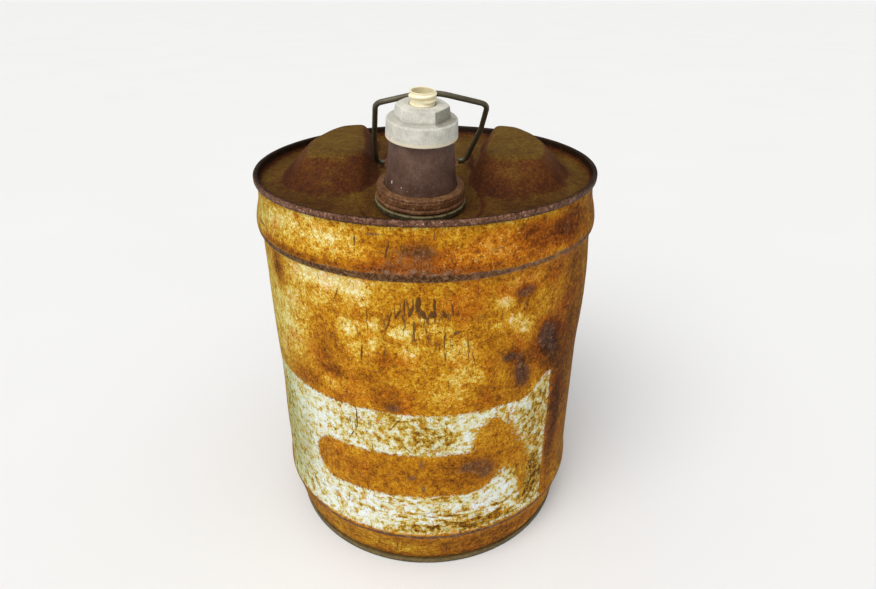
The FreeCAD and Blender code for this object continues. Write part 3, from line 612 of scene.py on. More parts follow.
class BodyFinish(Finish):
    """The body's material, with the noises that its layers share."""

    def __init__(self):
        super().__init__("aged_paint_over_rust")
        self.wobble = self.noise(9.0, 4.0, 0.6)
        self.grain = self.noise(1.4, 3.0, 0.7)
        self.fine = self.noise(3.4, 5.0, 0.72, warp=0.4)
        self.mottle = self.noise(10.0, 7.0, 0.70, warp=0.6)

    def speckled(self, value, fine, grain):
        """The value, made ragged by the fine and the grainy noise."""
        return self.add(value, self.times(self.fine, fine), self.times(self.grain, grain))

    def tone(self):
        """From dark rust to pale paint, livelier where the paint is pale."""
        ragged = self.speckled(self.times(self.mottle, 0.95), 1.25, 1.0)
        lively = self.math("MULTIPLY_ADD", self.step(self.field("tone"), 0.36, 0.86), 0.72, 0.64)
        broad = self.noise(42.0, 3.0, 0.5)
        return self.add(self.field("tone"), self.times(ragged, lively), self.times(broad, 0.12))

    def rusted_paint(self, tone):
        paint = self.ramp(
            tone,
            (0.06, (0.035, 0.011, 0.001)), (0.20, (0.105, 0.031, 0.001)),
            (0.33, (0.250, 0.078, 0.002)), (0.45, (0.410, 0.148, 0.003)),
            (0.57, (0.550, 0.250, 0.006)), (0.69, (0.650, 0.385, 0.026)),
            (0.82, (0.740, 0.585, 0.135)), (0.98, (0.850, 0.800, 0.460)))
        red = self.add(self.noise(24.0, 4.0, 0.6), self.times(self.fine, 0.6), self.field("reddened"))
        paint = self.tinted(self.times(self.step(red, 0.02, 0.26), 0.62), paint, (1.0, 0.62, 0.80))
        light = self.add(self.noise(2.6, 4.0, 0.66), self.times(self.field("tone"), 0.34),
                         self.times(self.field("reddened"), 0.15))
        paint = self.mix(self.times(self.step(light, 0.31, 0.35), 0.8), paint, (0.690, 0.440, 0.100))
        dark = self.add(self.noise(2.1, 4.0, 0.68), self.times(self.field("tone"), -0.20))
        return self.mix(self.times(self.step(dark, 0.01, 0.05), 0.75), paint, (0.100, 0.032, 0.003))

    def whole_enamel(self):
        """How whole the panel's enamel is: it flakes, and is dragged off along the body."""
        flakes = self.noise(6.0, 5.0, 0.62, warp=0.3)
        layers = self.noise(4.0, 4.0, 0.62, place=self.stretched(0.26, 0.26, 1.0))
        layers = self.times(self.math("SUBTRACT", layers, 0.05), self.field("dragged"))
        whole = self.add(self.field("enamel"), self.times(flakes, 1.1), self.times(layers, 4.0))
        return self.add(self.speckled(whole, 0.50, 0.30), 0.055)

    def enamel(self, whole):
        cream = self.ramp(
            self.math("MULTIPLY_ADD", whole, 1.6, 0.40),
            (0.10, (0.120, 0.042, 0.003)), (0.27, (0.330, 0.150, 0.008)),
            (0.40, (0.520, 0.330, 0.036)), (0.47, (0.640, 0.540, 0.170)),
            (0.55, (0.700, 0.690, 0.430)), (0.68, (0.740, 0.770, 0.680)),
            (0.90, (0.780, 0.850, 0.880)))
        greyer = self.step(self.speckled(self.field("panel_tone"), 1.2, 0.9), 0.62, 0.30)
        return self.tinted(self.times(greyer, 0.9), cream, (0.60, 0.56, 0.36))

    def coverage(self):
        """Where the panel is: inside its outline, outside its bar and not broken through."""
        ragged = self.times(self.speckled(self.times(self.wobble, 8.0), 9.0, 5.0), 0.8)
        in_panel = self.step(self.add(self.field("panel"), ragged), -0.8, 1.2)
        out_of_slot = self.step(self.add(self.field("slot_edge"), ragged), -1.2, 2.0)
        broken = self.times(self.speckled(self.wobble, 2.2, 1.0), 20.0)
        kept = self.step(self.add(self.field("breaks"), broken, -4.4), 1.6, -0.9)
        return self.times(self.times(in_panel, out_of_slot), kept)

    def stained(self, colour):
        """The colour under dark stains, and how much of it they cover."""
        stain = self.add(self.field("stain"), self.times(self.mottle, 1.5))
        covered = self.step(self.speckled(stain, 1.3, 0.5), 0.34, 0.74)
        dark = self.ramp(
            self.speckled(0.5, 1.4, 1.0),
            (0.30, (0.035, 0.015, 0.009)), (0.58, (0.115, 0.056, 0.034)),
            (0.86, (0.330, 0.160, 0.070)))
        return self.mix(self.times(covered, 0.80), colour, dark), covered

    def with_rust_and_shade_lines(self, colour):
        # Dark lines of bare rust, with painted shade under the bead and at the step.
        rust_and_shade_line = self.add(self.field("rust_and_shade_line"), self.times(self.wobble, 1.1))
        covered = self.step(self.speckled(rust_and_shade_line, 1.3, 0.7), 0.34, 0.66)
        rust_and_shade_colour = self.ramp(
            self.add(self.speckled(0.62, 1.5, 1.0), self.times(self.field("rust_and_shade_line"), -0.22)),
            (0.22, (0.024, 0.010, 0.004)), (0.50, (0.130, 0.068, 0.040)),
            (0.84, (0.300, 0.190, 0.130)))
        return self.mix(self.times(covered, 0.90), colour, rust_and_shade_colour)

    def strokes(self):
        """The deep scratches, each a ragged ellipse around its own leaning line."""
        bent_around = self.speckled(self.field("along"), 4.0, 1.6)
        bent_level = self.add(self.field("level"), self.times(self.wobble, 6.0))
        marks = []
        for azimuth, z, half_width, half_height, lean, strength in STROKES:
            up = self.math("SUBTRACT", bent_level, z)
            across = self.math("SUBTRACT", bent_around, math.radians(azimuth) * BODY_RADIUS)
            across = self.math("MULTIPLY_ADD", up, lean, across)
            across = self.times(across, 1 / half_width)
            up = self.times(up, 1 / half_height)
            away = self.math("MULTIPLY_ADD", across, across, self.times(up, up))
            marks.append(self.math("MULTIPLY_ADD", away, -strength, strength))
        deepest = marks[0]
        for mark in marks[1:]:
            deepest = self.math("MAXIMUM", deepest, mark)
        return self.step(self.speckled(deepest, 1.5, 1.2), 0.18, 0.34)

    def fine_scratches(self, place, size, where, low, high):
        """Fine scratches, drawn out along the stretched place and denser in one field."""
        scratches = self.noise(size, 3.0, 0.6, place=place)
        scratches = self.add(scratches, self.times(self.field(where), 0.26))
        return self.step(self.add(scratches, self.times(self.grain, 0.4)), low, high)


def painted_body():
    """Rusted paint with an enamelled panel; over them come pits, stains, rust lines with painted shade
    under the bead and at the step, scratches.
    """
    f = BodyFinish()
    tone = f.tone()
    whole = f.whole_enamel()
    coverage = f.coverage()
    colour = f.mix(coverage, f.rusted_paint(tone), f.enamel(whole))

    pits = f.step(f.add(f.noise(4.0, 5.0, 0.66), f.times(f.grain, 0.35)), 0.145, 0.19)
    pits = f.times(pits, f.step(tone, 1.35, 0.65))
    pit_rust = f.ramp(f.add(f.grain, 0.5), (0.3, (0.070, 0.024, 0.004)), (0.7, (0.240, 0.085, 0.010)))
    colour = f.mix(f.times(pits, 0.85), colour, pit_rust)

    colour, stained = f.stained(colour)
    colour = f.with_rust_and_shade_lines(colour)

    strokes = f.strokes()
    colour = f.mix(f.times(strokes, 0.88), colour, (0.080, 0.030, 0.008))
    upright = f.fine_scratches(f.stretched(1.0, 1.0, 0.16), 1.8, "scratched", 0.180, 0.210)
    colour = f.mix(f.times(upright, 0.85), colour, (0.095, 0.045, 0.018))
    level = f.fine_scratches(f.stretched(0.10, 0.10, 1.0), 1.6, "dragged", 0.195, 0.225)
    colour = f.mix(f.times(level, 0.8), colour, (0.130, 0.062, 0.018))
    colour = f.tinted(f.times(f.field("olive"), 0.8), colour, (0.62, 0.69, 0.38))

    rough = f.math("MULTIPLY_ADD", f.step(tone, 0.2, 1.0), -0.16, 0.84)
    enamelled = f.step(whole, 0.02, 0.12)
    relief = f.add(f.times(coverage, 0.5), f.times(enamelled, 0.4), f.times(pits, -0.8),
                   f.times(strokes, -0.5), f.times(stained, -0.3))
    return f.finish(colour, rough, f.speckled(relief, 1.2, 0.9), 0.20, Specular_IOR_Level=0.12)


# ---------------------------------------------------------------- pressed top

TOP_LEVEL = 331.5
SEAT_RADIUS = 46.0
MOUTH_RADIUS = 29.3
PRESSING = 0.9
# The blur that rounds the pressing's bends lowers its humps by this much.
PRESSED_GAIN = 1.04
# How much lower the valley's sides are, for the bail when it is folded back.
BAIL_ROOM = 0.7
# Lighter and darker places of the top: x, y, half sizes, change in tone. The darker patches at x -50 and
# 48, y -36, on the humps' sides that face the valley, are painted shade.
TOP_PATCHES = [
    (-88, -96, 34, 18, -0.13), (88, -98, 34, 16, -0.11), (-50, -84, 9, 22, 0.14), (54, -88, 8, 14, 0.12),
    (0, 10, 34, 50, 0.32), (0, 90, 40, 30, 0.22), (-128, -8, 12, 60, 0.12), (130, 20, 8, 60, 0.10),
    (-50, -36, 9, 22, -0.14), (48, -36, 9, 24, -0.12), (-78, -60, 22, 14, 0.05), (78, -58, 24, 14, 0.05),
    (-80, 30, 20, 40, 0.03), (80, 30, 20, 40, 0.04), (0, -128, 40, 8, -0.06), (44, -62, 5, 16, 0.06),
    (118, -40, 6, 30, 0.08), (-112, -30, 6, 30, -0.04),
]
# The rim rolled over the wall's hook: radius and height, from the sheet's upper face to its lower.
CHIME_LINE = [
    (138.6, 331.55), (139.6, 331.9), (140.35, 332.6), (140.8, 333.6), (141.0, 334.9), (141.0, 336.6),
    (141.0, 338.2), (141.15, 339.0), (141.55, 339.6), (142.2, 339.92), (143.0, 340.0), (143.8, 339.92),
    (144.45, 339.6), (144.85, 339.0), (145.0, 338.2), (145.0, 337.2), (144.95, 336.1), (144.75, 335.4),
    (144.3, 335.05), (143.7, 335.1), (143.35, 335.6), (143.3, 336.6), (143.2, 338.3), (142.4, 338.5),
    (141.75, 338.2), (141.7, 336.0), (141.65, 333.6), (141.2, 331.9), (140.2, 330.9), (138.7, 330.65),
]


def seat_height(x, y):
    """Height of the spout's seat plane, which passes through the seat's middle."""
    return SEAT[2] - ((x - SEAT[0]) * SPOUT_Z[0] + (y - SEAT[1]) * SPOUT_Z[1]) / SPOUT_Z[2]


def blurred(grid, sigma):
    """The grid after a Gaussian blur of that many cells."""
    reach = int(math.ceil(3 * sigma))
    window = np.exp(-(np.arange(-reach, reach + 1) / sigma) ** 2 / 2)
    window /= window.sum()
    for axis in (0, 1):
        padded = np.pad(grid, [(reach, reach) if k == axis else (0, 0) for k in (0, 1)], "edge")
        grid = np.apply_along_axis(lambda line: np.convolve(line, window, "valid"), axis, padded)
    return grid


class TopSurface:
    """The pressing's upper surface: the CAD's heights, rounded where pressed sheet would bend."""

    def __init__(self):
        cell = 1.5
        mesh = frame["nodes"]["top_head"].data
        corners = [vertex.co for vertex in mesh.vertices]
        tree = BVHTree.FromPolygons(corners, [tuple(face.vertices) for face in mesh.polygons])
        self.cell = cell
        self.reach = 144.0
        flat_from, above = 138.0, 400.0
        line = np.arange(-self.reach, self.reach + cell / 2, cell)
        x, y = np.meshgrid(line, line, indexing="ij")
        z = np.full_like(x, TOP_LEVEL)
        down = Vector((0, 0, -1))
        for i in range(len(line)):
            for j in range(len(line)):
                if math.hypot(x[i, j], y[i, j]) < flat_from:
                    hit = tree.ray_cast(Vector((x[i, j], y[i, j], above)) * MM, down)[0]
                    if hit is not None:
                        z[i, j] = hit.z / MM
        away = np.hypot(x - SEAT[0], y - SEAT[1])
        z = np.where(away < MOUTH_RADIUS + 2.5, seat_height(x, y), z)
        near = blurred(z, 1.1 / cell)
        far = TOP_LEVEL + (blurred(z, 3.8 / cell) - TOP_LEVEL) * PRESSED_GAIN
        saddle = blurred(np.where((np.abs(x) < 36) & (y > -16) & (y < 19), 1.0, 0.0), 2.0 / cell)
        softness = smoothstep(SEAT_RADIUS - 2, SEAT_RADIUS + 9, away) * (1 - 0.7 * saddle)
        z = near * (1 - softness) + far * softness
        valley_side = (np.abs(x) > 38) & (np.abs(x) < 56) & (y > -8) & (y < 62)
        room = blurred(np.where(valley_side, 1.0, 0.0), 3.0 / cell)
        self.z = z * (1 - room) + np.minimum(z, near - BAIL_ROOM) * room

    def __call__(self, x, y):
        u = (np.asarray(x) + self.reach) / self.cell
        v = (np.asarray(y) + self.reach) / self.cell
        i = np.clip(u.astype(int), 0, self.z.shape[0] - 2)
        j = np.clip(v.astype(int), 0, self.z.shape[1] - 2)
        a, b = u - i, v - j
        z = self.z
        return (z[i, j] * (1 - a) * (1 - b) + z[i + 1, j] * a * (1 - b)
                + z[i, j + 1] * (1 - a) * b + z[i + 1, j + 1] * a * b)


def build_top(material):
    surface = TopSurface()
    columns, upper_rows, lower_rows = 396, 158, 44
    turn = np.arange(columns) * TAU / columns
    inner_x = SEAT[0] + MOUTH_RADIUS * np.sin(turn)
    inner_y = SEAT[1] - MOUTH_RADIUS * np.cos(turn)
    edge = CHIME_LINE[0][0] - 0.6
    outer_x, outer_y = edge * np.sin(turn), -edge * np.cos(turn)

    def sheet(count, drop):
        """Rings from the mouth out to the chime, that far below the upper surface."""
        rows = []
        for share in np.linspace(0, 1, count):
            x = inner_x + (outer_x - inner_x) * share
            y = inner_y + (outer_y - inner_y) * share
            z = surface(x, y)
            level = smoothstep(1.0, 0.965, share)
            wave = 0.45 * lumps(np.stack([x, y, z], -1), 24.0, 5)
            wave += 0.16 * lumps(np.stack([x, y, z], -1), 8.0, 6)
            away = np.hypot(x - SEAT[0], y - SEAT[1])
            clear = smoothstep(SEAT_RADIUS - 4, SEAT_RADIUS + 8, away)
            z = TOP_LEVEL + (z - TOP_LEVEL) * level if share > 0.9 else z
            rows.append(np.stack([x, y, z + wave * clear * level - drop], -1))
        return rows

    rows = sheet(upper_rows, 0.0)
    for r, z in CHIME_LINE:
        ring = np.stack([r * np.sin(turn), -r * np.cos(turn), np.full(columns, z)], -1)
        rows.append(ring + 0.07 * lumps(ring, 16.0, 7)[:, None] * np.array([0, 0, 1.0]))
    rows += sheet(lower_rows, PRESSING)[::-1]
    points = np.array(rows).reshape(-1, 3)
    faces = torus_faces(len(rows), columns)
    add_top_fields(make_mesh("pressed_top", points, faces, material, "can", ["top_head"]))


def add_top_fields(piece):
    """What the top's material reads: the chime, the painted shade in its folds, the painted highlight along
    its front edge, and the top's patches.
    """
    places = vertex_places(piece)
    x, y, z = places.T
    reach = np.hypot(x, y)
    # Painted shade under the chime's roll outside and at its inner top edge.
    fold_shade = smoothstep(336.6, 335.4, z) * (reach > 143.0)
    fold_shade += smoothstep(141.9, 141.2, reach) * (reach > 140.2) * (z > 336.0)
    add_field(piece, "fold_shade", fold_shade)
    # The chime's outer edge, lighter towards the front: a painted highlight.
    add_field(piece, "worn", smoothstep(142.6, 144.6, reach) * smoothstep(0.0, 0.8, -y / reach))
    add_field(piece, "chime", smoothstep(139.2, 140.6, reach))
    add_field(piece, "raised", smoothstep(TOP_LEVEL + 1, TOP_LEVEL + 19, z))
    add_field(piece, "shade", sum(blob_flat(places, patch) for patch in TOP_PATCHES))


def rusty_top():
    f = Finish("dark_rusted_top")
    broad = f.noise(34.0, 4.0, 0.55)
    mottle = f.noise(9.0, 7.0, 0.66, warp=0.4)
    fine = f.noise(2.6, 4.0, 0.68)
    grain = f.noise(1.2, 2.0, 0.6)
    flat = f.step(f.add(f.up(), f.times(mottle, 0.16), f.times(broad, 0.16)), 0.84, 0.95)
    tone = f.add(f.times(flat, 0.17), f.times(f.field("raised"), 0.16), f.field("shade"),
                 f.times(broad, 0.30), f.times(mottle, 0.50), f.times(fine, 0.80),
                 f.times(grain, 0.75), 0.26)
    colour = f.ramp(
        tone,
        (0.06, (0.022, 0.008, 0.001)), (0.28, (0.056, 0.018, 0.002)),
        (0.46, (0.086, 0.034, 0.003)), (0.62, (0.120, 0.060, 0.006)),
        (0.86, (0.190, 0.112, 0.018)),
    )
    steep = f.math("SUBTRACT", 1.0, flat)
    colour = f.tinted(f.times(steep, 0.62), colour, (1.30, 0.80, 0.90))
    colour = f.tinted(f.times(flat, 0.45), colour, (0.98, 0.99, 0.68))
    rim = f.times(f.step(f.height(), 333.4 * MM, 335.2 * MM), f.field("chime"))
    # The worn field lightens the chime's front edge: a painted highlight.
    rim_tone = f.add(f.times(mottle, 0.9), f.times(fine, 1.1), f.times(grain, 1.0),
                     f.times(f.field("worn"), 0.42), 0.18)
    rim_colour = f.ramp(
        rim_tone,
        (0.15, (0.014, 0.006, 0.002)), (0.38, (0.052, 0.023, 0.009)),
        (0.58, (0.125, 0.052, 0.028)), (0.82, (0.240, 0.122, 0.076)), (1.04, (0.560, 0.400, 0.310)))
    shadowed = f.mix(f.times(f.field("fold_shade"), 0.75), rim_colour, (0.016, 0.008, 0.003))
    colour = f.mix(rim, colour, shadowed)
    rough = f.math("MULTIPLY_ADD", rim, -0.16, 0.72)
    rough = f.add(rough, f.times(fine, 0.2))
    relief = f.add(f.times(mottle, 0.8), f.times(fine, 1.2), f.times(grain, 0.8))
    return f.finish(colour, rough, relief, 0.26, Specular_IOR_Level=0.14)


# ---------------------------------------------------------------- small finishes

def rusty_bottom():
    f = Finish("greenish_rusted_foot")
    mottle = f.noise(8.0, 6.0, 0.66)
    fine = f.noise(2.2, 4.0, 0.66)
    colour = f.ramp(
        f.add(f.times(mottle, 0.8), f.times(fine, 0.6), 0.5),
        (0.15, (0.030, 0.022, 0.006)), (0.45, (0.105, 0.074, 0.020)),
        (0.70, (0.220, 0.145, 0.045)), (0.95, (0.360, 0.280, 0.130)))
    low = f.step(f.add(f.height(), f.times(fine, 3 * MM)), 2.6 * MM, 1.2 * MM)
    colour = f.mix(f.times(low, 0.8), colour, (0.022, 0.022, 0.010))
    relief = f.add(mottle, fine)
    return f.finish(colour, f.math("MULTIPLY_ADD", fine, 0.3, 0.7), relief, 0.2)


def brown_steel(name="brown_screw_steel"):
    f = Finish(name)
    mottle = f.noise(6.0, 6.0, 0.66)
    fine = f.noise(1.6, 4.0, 0.66)
    dust = f.step(f.add(f.up(), f.times(fine, 0.6)), 0.35, 1.05)
    colour = f.ramp(
        f.add(f.times(mottle, 0.9), f.times(fine, 1.3), 0.5),
        (0.14, (0.030, 0.011, 0.004)), (0.42, (0.120, 0.044, 0.014)),
        (0.66, (0.230, 0.104, 0.042)), (0.92, (0.480, 0.310, 0.180)))
    colour = f.mix(f.times(dust, 0.25), colour, (0.110, 0.066, 0.022))
    relief = f.add(f.times(mottle, 0.6), fine)
    return f.finish(colour, f.math("MULTIPLY_ADD", fine, 0.4, 0.58), relief, 0.14,
                    Specular_IOR_Level=0.25)


def green_black_steel():
    f = Finish("green_black_seat_steel")
    mottle = f.noise(5.0, 5.0, 0.62)
    fine = f.noise(1.4, 4.0, 0.66)
    colour = f.ramp(
        f.add(f.times(mottle, 0.8), f.times(fine, 1.2), 0.5),
        (0.15, (0.010, 0.010, 0.003)), (0.50, (0.042, 0.036, 0.014)), (0.90, (0.150, 0.120, 0.050)))
    # The lighter line along the rim's upper edge is worn metal with a painted highlight.
    worn = f.step(f.add(f.field("edge"), f.times(fine, 1.6), f.times(mottle, 1.0)), 0.62, 0.95)
    colour = f.mix(f.times(worn, 0.6), colour, (0.240, 0.180, 0.085))
    relief = f.add(mottle, fine)
    return f.finish(colour, f.math("MULTIPLY_ADD", fine, 0.3, 0.56), relief, 0.12,
                    Specular_IOR_Level=0.25)


def dark_neck():
    f = Finish("dark_moulded_neck")
    cloud = f.noise(14.0, 5.0, 0.6)
    fine = f.noise(0.9, 3.0, 0.6)
    colour = f.ramp(
        f.add(f.times(cloud, 1.1), f.times(fine, 0.8), 0.5),
        (0.20, (0.050, 0.023, 0.014)), (0.50, (0.106, 0.053, 0.034)), (0.85, (0.190, 0.108, 0.074)))
    specks = f.step(f.add(f.noise(1.5, 2.0, 0.5), f.times(cloud, 0.35)), 0.235, 0.265)
    low = f.step(f.height(), 366 * MM, 348 * MM)
    colour = f.mix(f.times(f.times(specks, low), 0.7), colour, (0.42, 0.32, 0.24))
    spatter = f.step(f.add(f.field("spatter"), f.times(fine, 0.6)), 0.35, 0.55)
    colour = f.mix(f.times(spatter, 0.9), colour, (0.78, 0.70, 0.55))
    bloom = f.step(cloud, 0.04, 0.26)
    colour = f.mix(f.times(bloom, 0.25), colour, (0.150, 0.100, 0.080))
    rough = f.math("MULTIPLY_ADD", cloud, 0.25, 0.46)
    return f.finish(colour, rough, f.add(fine, f.times(cloud, 0.6)), 0.07, Specular_IOR_Level=0.3)


def chalky_grey():
    f = Finish("chalky_cast_grey")
    cloud = f.noise(8.0, 5.0, 0.62)
    fine = f.noise(1.8, 4.0, 0.62)
    grain = f.noise(0.7, 2.0, 0.5)
    colour = f.ramp(
        f.add(f.times(cloud, 0.9), f.times(fine, 0.5), f.times(grain, 0.2), 0.5),
        (0.12, (0.350, 0.335, 0.285)), (0.42, (0.560, 0.540, 0.470)),
        (0.66, (0.720, 0.700, 0.620)), (0.92, (0.860, 0.850, 0.770)))
    low = f.step(f.add(f.field("low_edge"), f.times(cloud, 0.3)), 0.25, 0.85)
    colour = f.mix(f.times(low, 0.75), colour, (0.760, 0.655, 0.470))
    # Painted shade on one flat of the hexagon and in the corner at its foot.
    shade_amount = f.math("MULTIPLY_ADD", fine, 0.8, 0.75)
    colour = f.mix(f.times(f.field("hexagon_shade"), shade_amount), colour, (0.190, 0.180, 0.130))
    pits = f.step(f.noise(2.6, 3.0, 0.55), 0.20, 0.27)
    colour = f.mix(f.times(pits, 0.35), colour, (0.250, 0.215, 0.165))
    relief = f.add(f.times(cloud, 0.5), f.times(fine, 0.6), f.times(grain, 0.5), f.times(pits, -0.6))
    return f.finish(colour, 0.72, relief, 0.10, Specular_IOR_Level=0.35)


def cream_plastic():
    f = Finish("aged_cream_plastic")
    cloud = f.noise(7.0, 4.0, 0.6)
    fine = f.noise(1.2, 3.0, 0.6)
    colour = f.ramp(
        f.add(f.times(cloud, 0.9), f.times(fine, 0.35), 0.5),
        (0.15, (0.780, 0.660, 0.370)), (0.46, (0.920, 0.840, 0.570)), (0.80, (0.970, 0.940, 0.780)))
    # Faces that look down are darkened: painted shade.
    underside_shade = f.step(f.up(), 0.5, -0.6)
    colour = f.mix(f.times(underside_shade, 0.4), colour, (0.560, 0.430, 0.190))
    rough = f.math("MULTIPLY_ADD", cloud, 0.2, 0.42)
    return f.finish(colour, rough, f.add(fine, cloud), 0.05, Specular_IOR_Level=0.5,
                    Subsurface_Weight=0.08, Subsurface_Scale=0.002)


def wire_steel():
    f = Finish("weathered_wire")
    along = f.noise(12.0, 5.0, 0.6)
    fine = f.noise(1.3, 4.0, 0.7)
    colour = f.ramp(
        f.add(f.times(along, 0.8), f.times(fine, 0.6), 0.5),
        (0.15, (0.045, 0.036, 0.018)), (0.45, (0.088, 0.076, 0.042)),
        (0.75, (0.150, 0.132, 0.085)), (1.00, (0.230, 0.160, 0.085)))
    rough = f.math("MULTIPLY_ADD", fine, 0.3, 0.46)
    return f.finish(colour, rough, f.add(f.times(along, 0.4), fine), 0.07, metallic=0.35)


def soft_compound(name, dark, light):
    f = Finish(name)
    cloud = f.noise(5.0, 4.0, 0.6)
    colour = f.ramp(f.add(cloud, 0.5), (0.25, dark), (0.75, light))
    return f.finish(colour, 0.8, cloud, 0.08)


# ---------------------------------------------------------------- spout stack

def build_neck_ring(material):
    outline = [
        (27.2, -2.4), (32.0, -2.4), (32.0, -1.0), (29.2, -1.0), (29.2, 0.85), (33.4, 0.85, 0.5),
        (34.3, 1.7, 0.9), (34.3, 4.5, 0.9), (33.5, 5.4, 0.7), (30.6, 5.4), (29.4, 6.0), (29.4, 13.1),
        (27.2, 13.1),
    ]

    def reshape(angle, r, h):
        ridge = thread_ridge(angle, h, 7.2, 1.25, 1.0, 0.75)
        return r + np.where(r > 29.0, ridge * (h > 6.2) * (h < 12.9), 0), h

    piece = turned("neck_rim_ring", outline, 240, material, "can", ["neck_ring"],
                   0.3, 0.45, reshape)
    x, y, h = spout_places(piece)
    # The rim's upper edge, for a lighter line there: worn metal with a painted highlight.
    add_field(piece, "edge", smoothstep(4.1, 4.9, h) * (np.hypot(x, y) > 32.0) * (h < 5.6))


COLLAR_TEETH = 104


def build_collar(material):
    outline = [
        (31.0, 6.2), (32.9, 6.2, 0.5), (33.5, 7.0, 0.9), (33.5, 8.4, 0.9), (32.7, 9.3, 0.5),
        (32.5, 9.9, 0.3), (32.9, 10.4, 0.3), (32.9, 14.2, 0.3), (32.4, 14.6, 0.3), (32.6, 15.0, 0.6),
        (32.2, 16.3, 0.9), (30.4, 17.0, 0.8), (27.6, 17.2, 0.4), (26.95, 16.9, 0.3),
        (26.95, 15.5), (31.0, 15.5),
    ]

    def reshape(angle, r, h):
        band = smoothstep(10.1, 10.7, h) * smoothstep(14.5, 13.9, h) * (r > 32.0)
        slant = 1.1 * (h - 12.2)
        knurl = np.cos(COLLAR_TEETH * angle + slant) + np.cos(COLLAR_TEETH * angle - slant)
        r = r + 0.11 * band * knurl
        ridge = thread_ridge(angle, h, 8.7, 1.25, 1.0, 0.75)
        r = r - np.where((r < 31.2) & (h < 15.0) & (h > 6.6), ridge, 0)
        return r, h

    turned("knurled_collar", outline, COLLAR_TEETH * 5, material, "collar", ["spout_collar"],
           0.3, 0.5, reshape)


# Drops of pale paint low on the neck: distance around from the front, height and half sizes, mm.
PAINT_SPATTER = [
    (-22.4, 23.6, 0.75, 1.5), (-8.0, 20.4, 0.35, 0.7), (-13.0, 22.2, 0.25, 0.5), (3.2, 19.6, 0.3, 0.3),
    (11.0, 24.0, 0.25, 0.4), (-16.0, 34.0, 0.2, 0.4),
]


def build_spout_neck(material):
    outline = [
        (24.9, 14.25), (29.2, 14.25), (29.2, 15.35), (26.75, 15.4, 0.3), (26.6, 16.6),
        (26.2, 21.0), (25.3, 29.0), (24.35, 38.0), (23.5, 46.0), (22.9, 51.4, 0.5),
        (21.9, 52.0, 0.3), (21.9, 62.5), (20.3, 62.5), (20.3, 52.0, 1.0),
    ]

    def reshape(angle, r, h):
        ridge = thread_ridge(angle, h, 55.5, 1.75, 1.0, 0.75)
        return r + np.where((r > 21.5) & (h > 53.5) & (h < 62.3), ridge, 0), h

    piece = turned("tapered_neck", outline, 240, material, "spout", ["spout_neck"],
                   0.3, 0.5, reshape)
    x, y, h = spout_places(piece)
    around = np.arctan2(x, -y) * np.hypot(x, y)
    add_field(piece, "spatter", sum(
        np.exp(-((around - place) / half_width) ** 2 - ((h - level) / half_height) ** 2)
        for place, level, half_width, half_height in PAINT_SPATTER))


def spout_places(piece):
    """Each vertex in the spout's own frame, in millimetres."""
    away = vertex_places(piece) - SEAT
    return away @ SPOUT_X, away @ SPOUT_Y, away @ SPOUT_Z


NUT_RIBS = 84


def build_nut(material):
    """The ribbed skirt below and the hexagon above, its flats closing in slightly upwards."""
    outline = [
        (23.4, 52.35), (25.3, 52.35, 0.4), (25.85, 52.95, 0.5), (25.5, 60.0), (25.2, 65.0, 1.1),
        (24.0, 66.2, 0.8), (20.9, 66.25), (20.0, 66.3, 0.5), (19.6, 70.0), (18.95, 74.2, 0.5),
        (17.8, 74.95, 0.4), (12.6, 75.3), (9.7, 75.35, 0.3), (9.55, 74.6), (9.55, 72.5),
        (13.0, 72.5), (13.0, 65.15), (23.4, 65.15),
    ]

    def reshape(angle, r, h):
        away = (angle + math.pi / 6) % (math.pi / 3) - math.pi / 6
        flat = (18.45 - (h - 66.2) * 0.13) / np.cos(away)
        rounding = 0.5
        limit = -rounding * np.log(np.exp(-flat / rounding) + np.exp(-r / rounding))
        hexagon = (h > 66.1) & (r > 15.0) & (r < 22.0)
        foot = (h > 66.1) & (r > 19.9) & (r < 22.0)
        reach = np.where(foot, smoothstep(22.0, 20.0, r), 1.0)
        r = np.where(hexagon, r * (1 - reach) + np.minimum(r, limit) * reach, r)
        ribs = smoothstep(53.2, 53.9, h) * smoothstep(65.4, 64.7, h) * (r > 24.0)
        r = r + 0.10 * ribs * (np.cos(NUT_RIBS * angle) - 1.0)
        inner = (r < 23.6) & (h > 53.0) & (h < 65.0) & (r > 21.0)
        r = r - np.where(inner, thread_ridge(angle, h, 57.0, 1.75, 0.3, 0.75), 0)
        return r, h

    piece = turned("ribbed_nut", outline, NUT_RIBS * 5, material, "nut", ["nozzle_nut"],
                   0.3, 0.8, reshape)
    x, y, h = spout_places(piece)
    add_field(piece, "low_edge", smoothstep(57.5, 53.0, h))
    azimuth = np.degrees(np.arctan2(x, -y))
    on_hexagon = smoothstep(65.8, 66.6, h) * smoothstep(74.9, 74.0, h) * (np.hypot(x, y) > 16.5)
    # Painted shade on the hexagon's flat between 30 and 90 degrees round, and in the corner at its foot.
    hexagon_shade = on_hexagon * smoothstep(29.0, 31.0, azimuth) * smoothstep(91.0, 89.0, azimuth)
    hexagon_shade += 0.5 * np.exp(-((h - 66.6) / 0.9) ** 2) * (np.hypot(x, y) > 17.0)
    add_field(piece, "hexagon_shade", np.clip(hexagon_shade, 0, 1))


def build_nozzle(material):
    outline = [
        (7.75, 63.6), (21.4, 63.6), (21.4, 64.95), (9.0, 64.95), (9.0, 75.6), (8.5, 76.4, 0.5),
        (8.3, 78.0), (8.3, 83.3), (8.6, 83.9, 0.4), (8.35, 84.3, 0.3), (7.75, 84.25, 0.3),
    ]

    def reshape(angle, r, h):
        ridge = thread_ridge(angle, h, 78.0, 1.8, 1.45, 1.35, pitch=3.5)
        return r + np.where((r > 8.0) & (h > 75.8), ridge, 0), h

    turned("cream_nozzle", outline, 200, material, "nozzle", ["pour_nozzle"],
           0.25, 0.3, reshape)


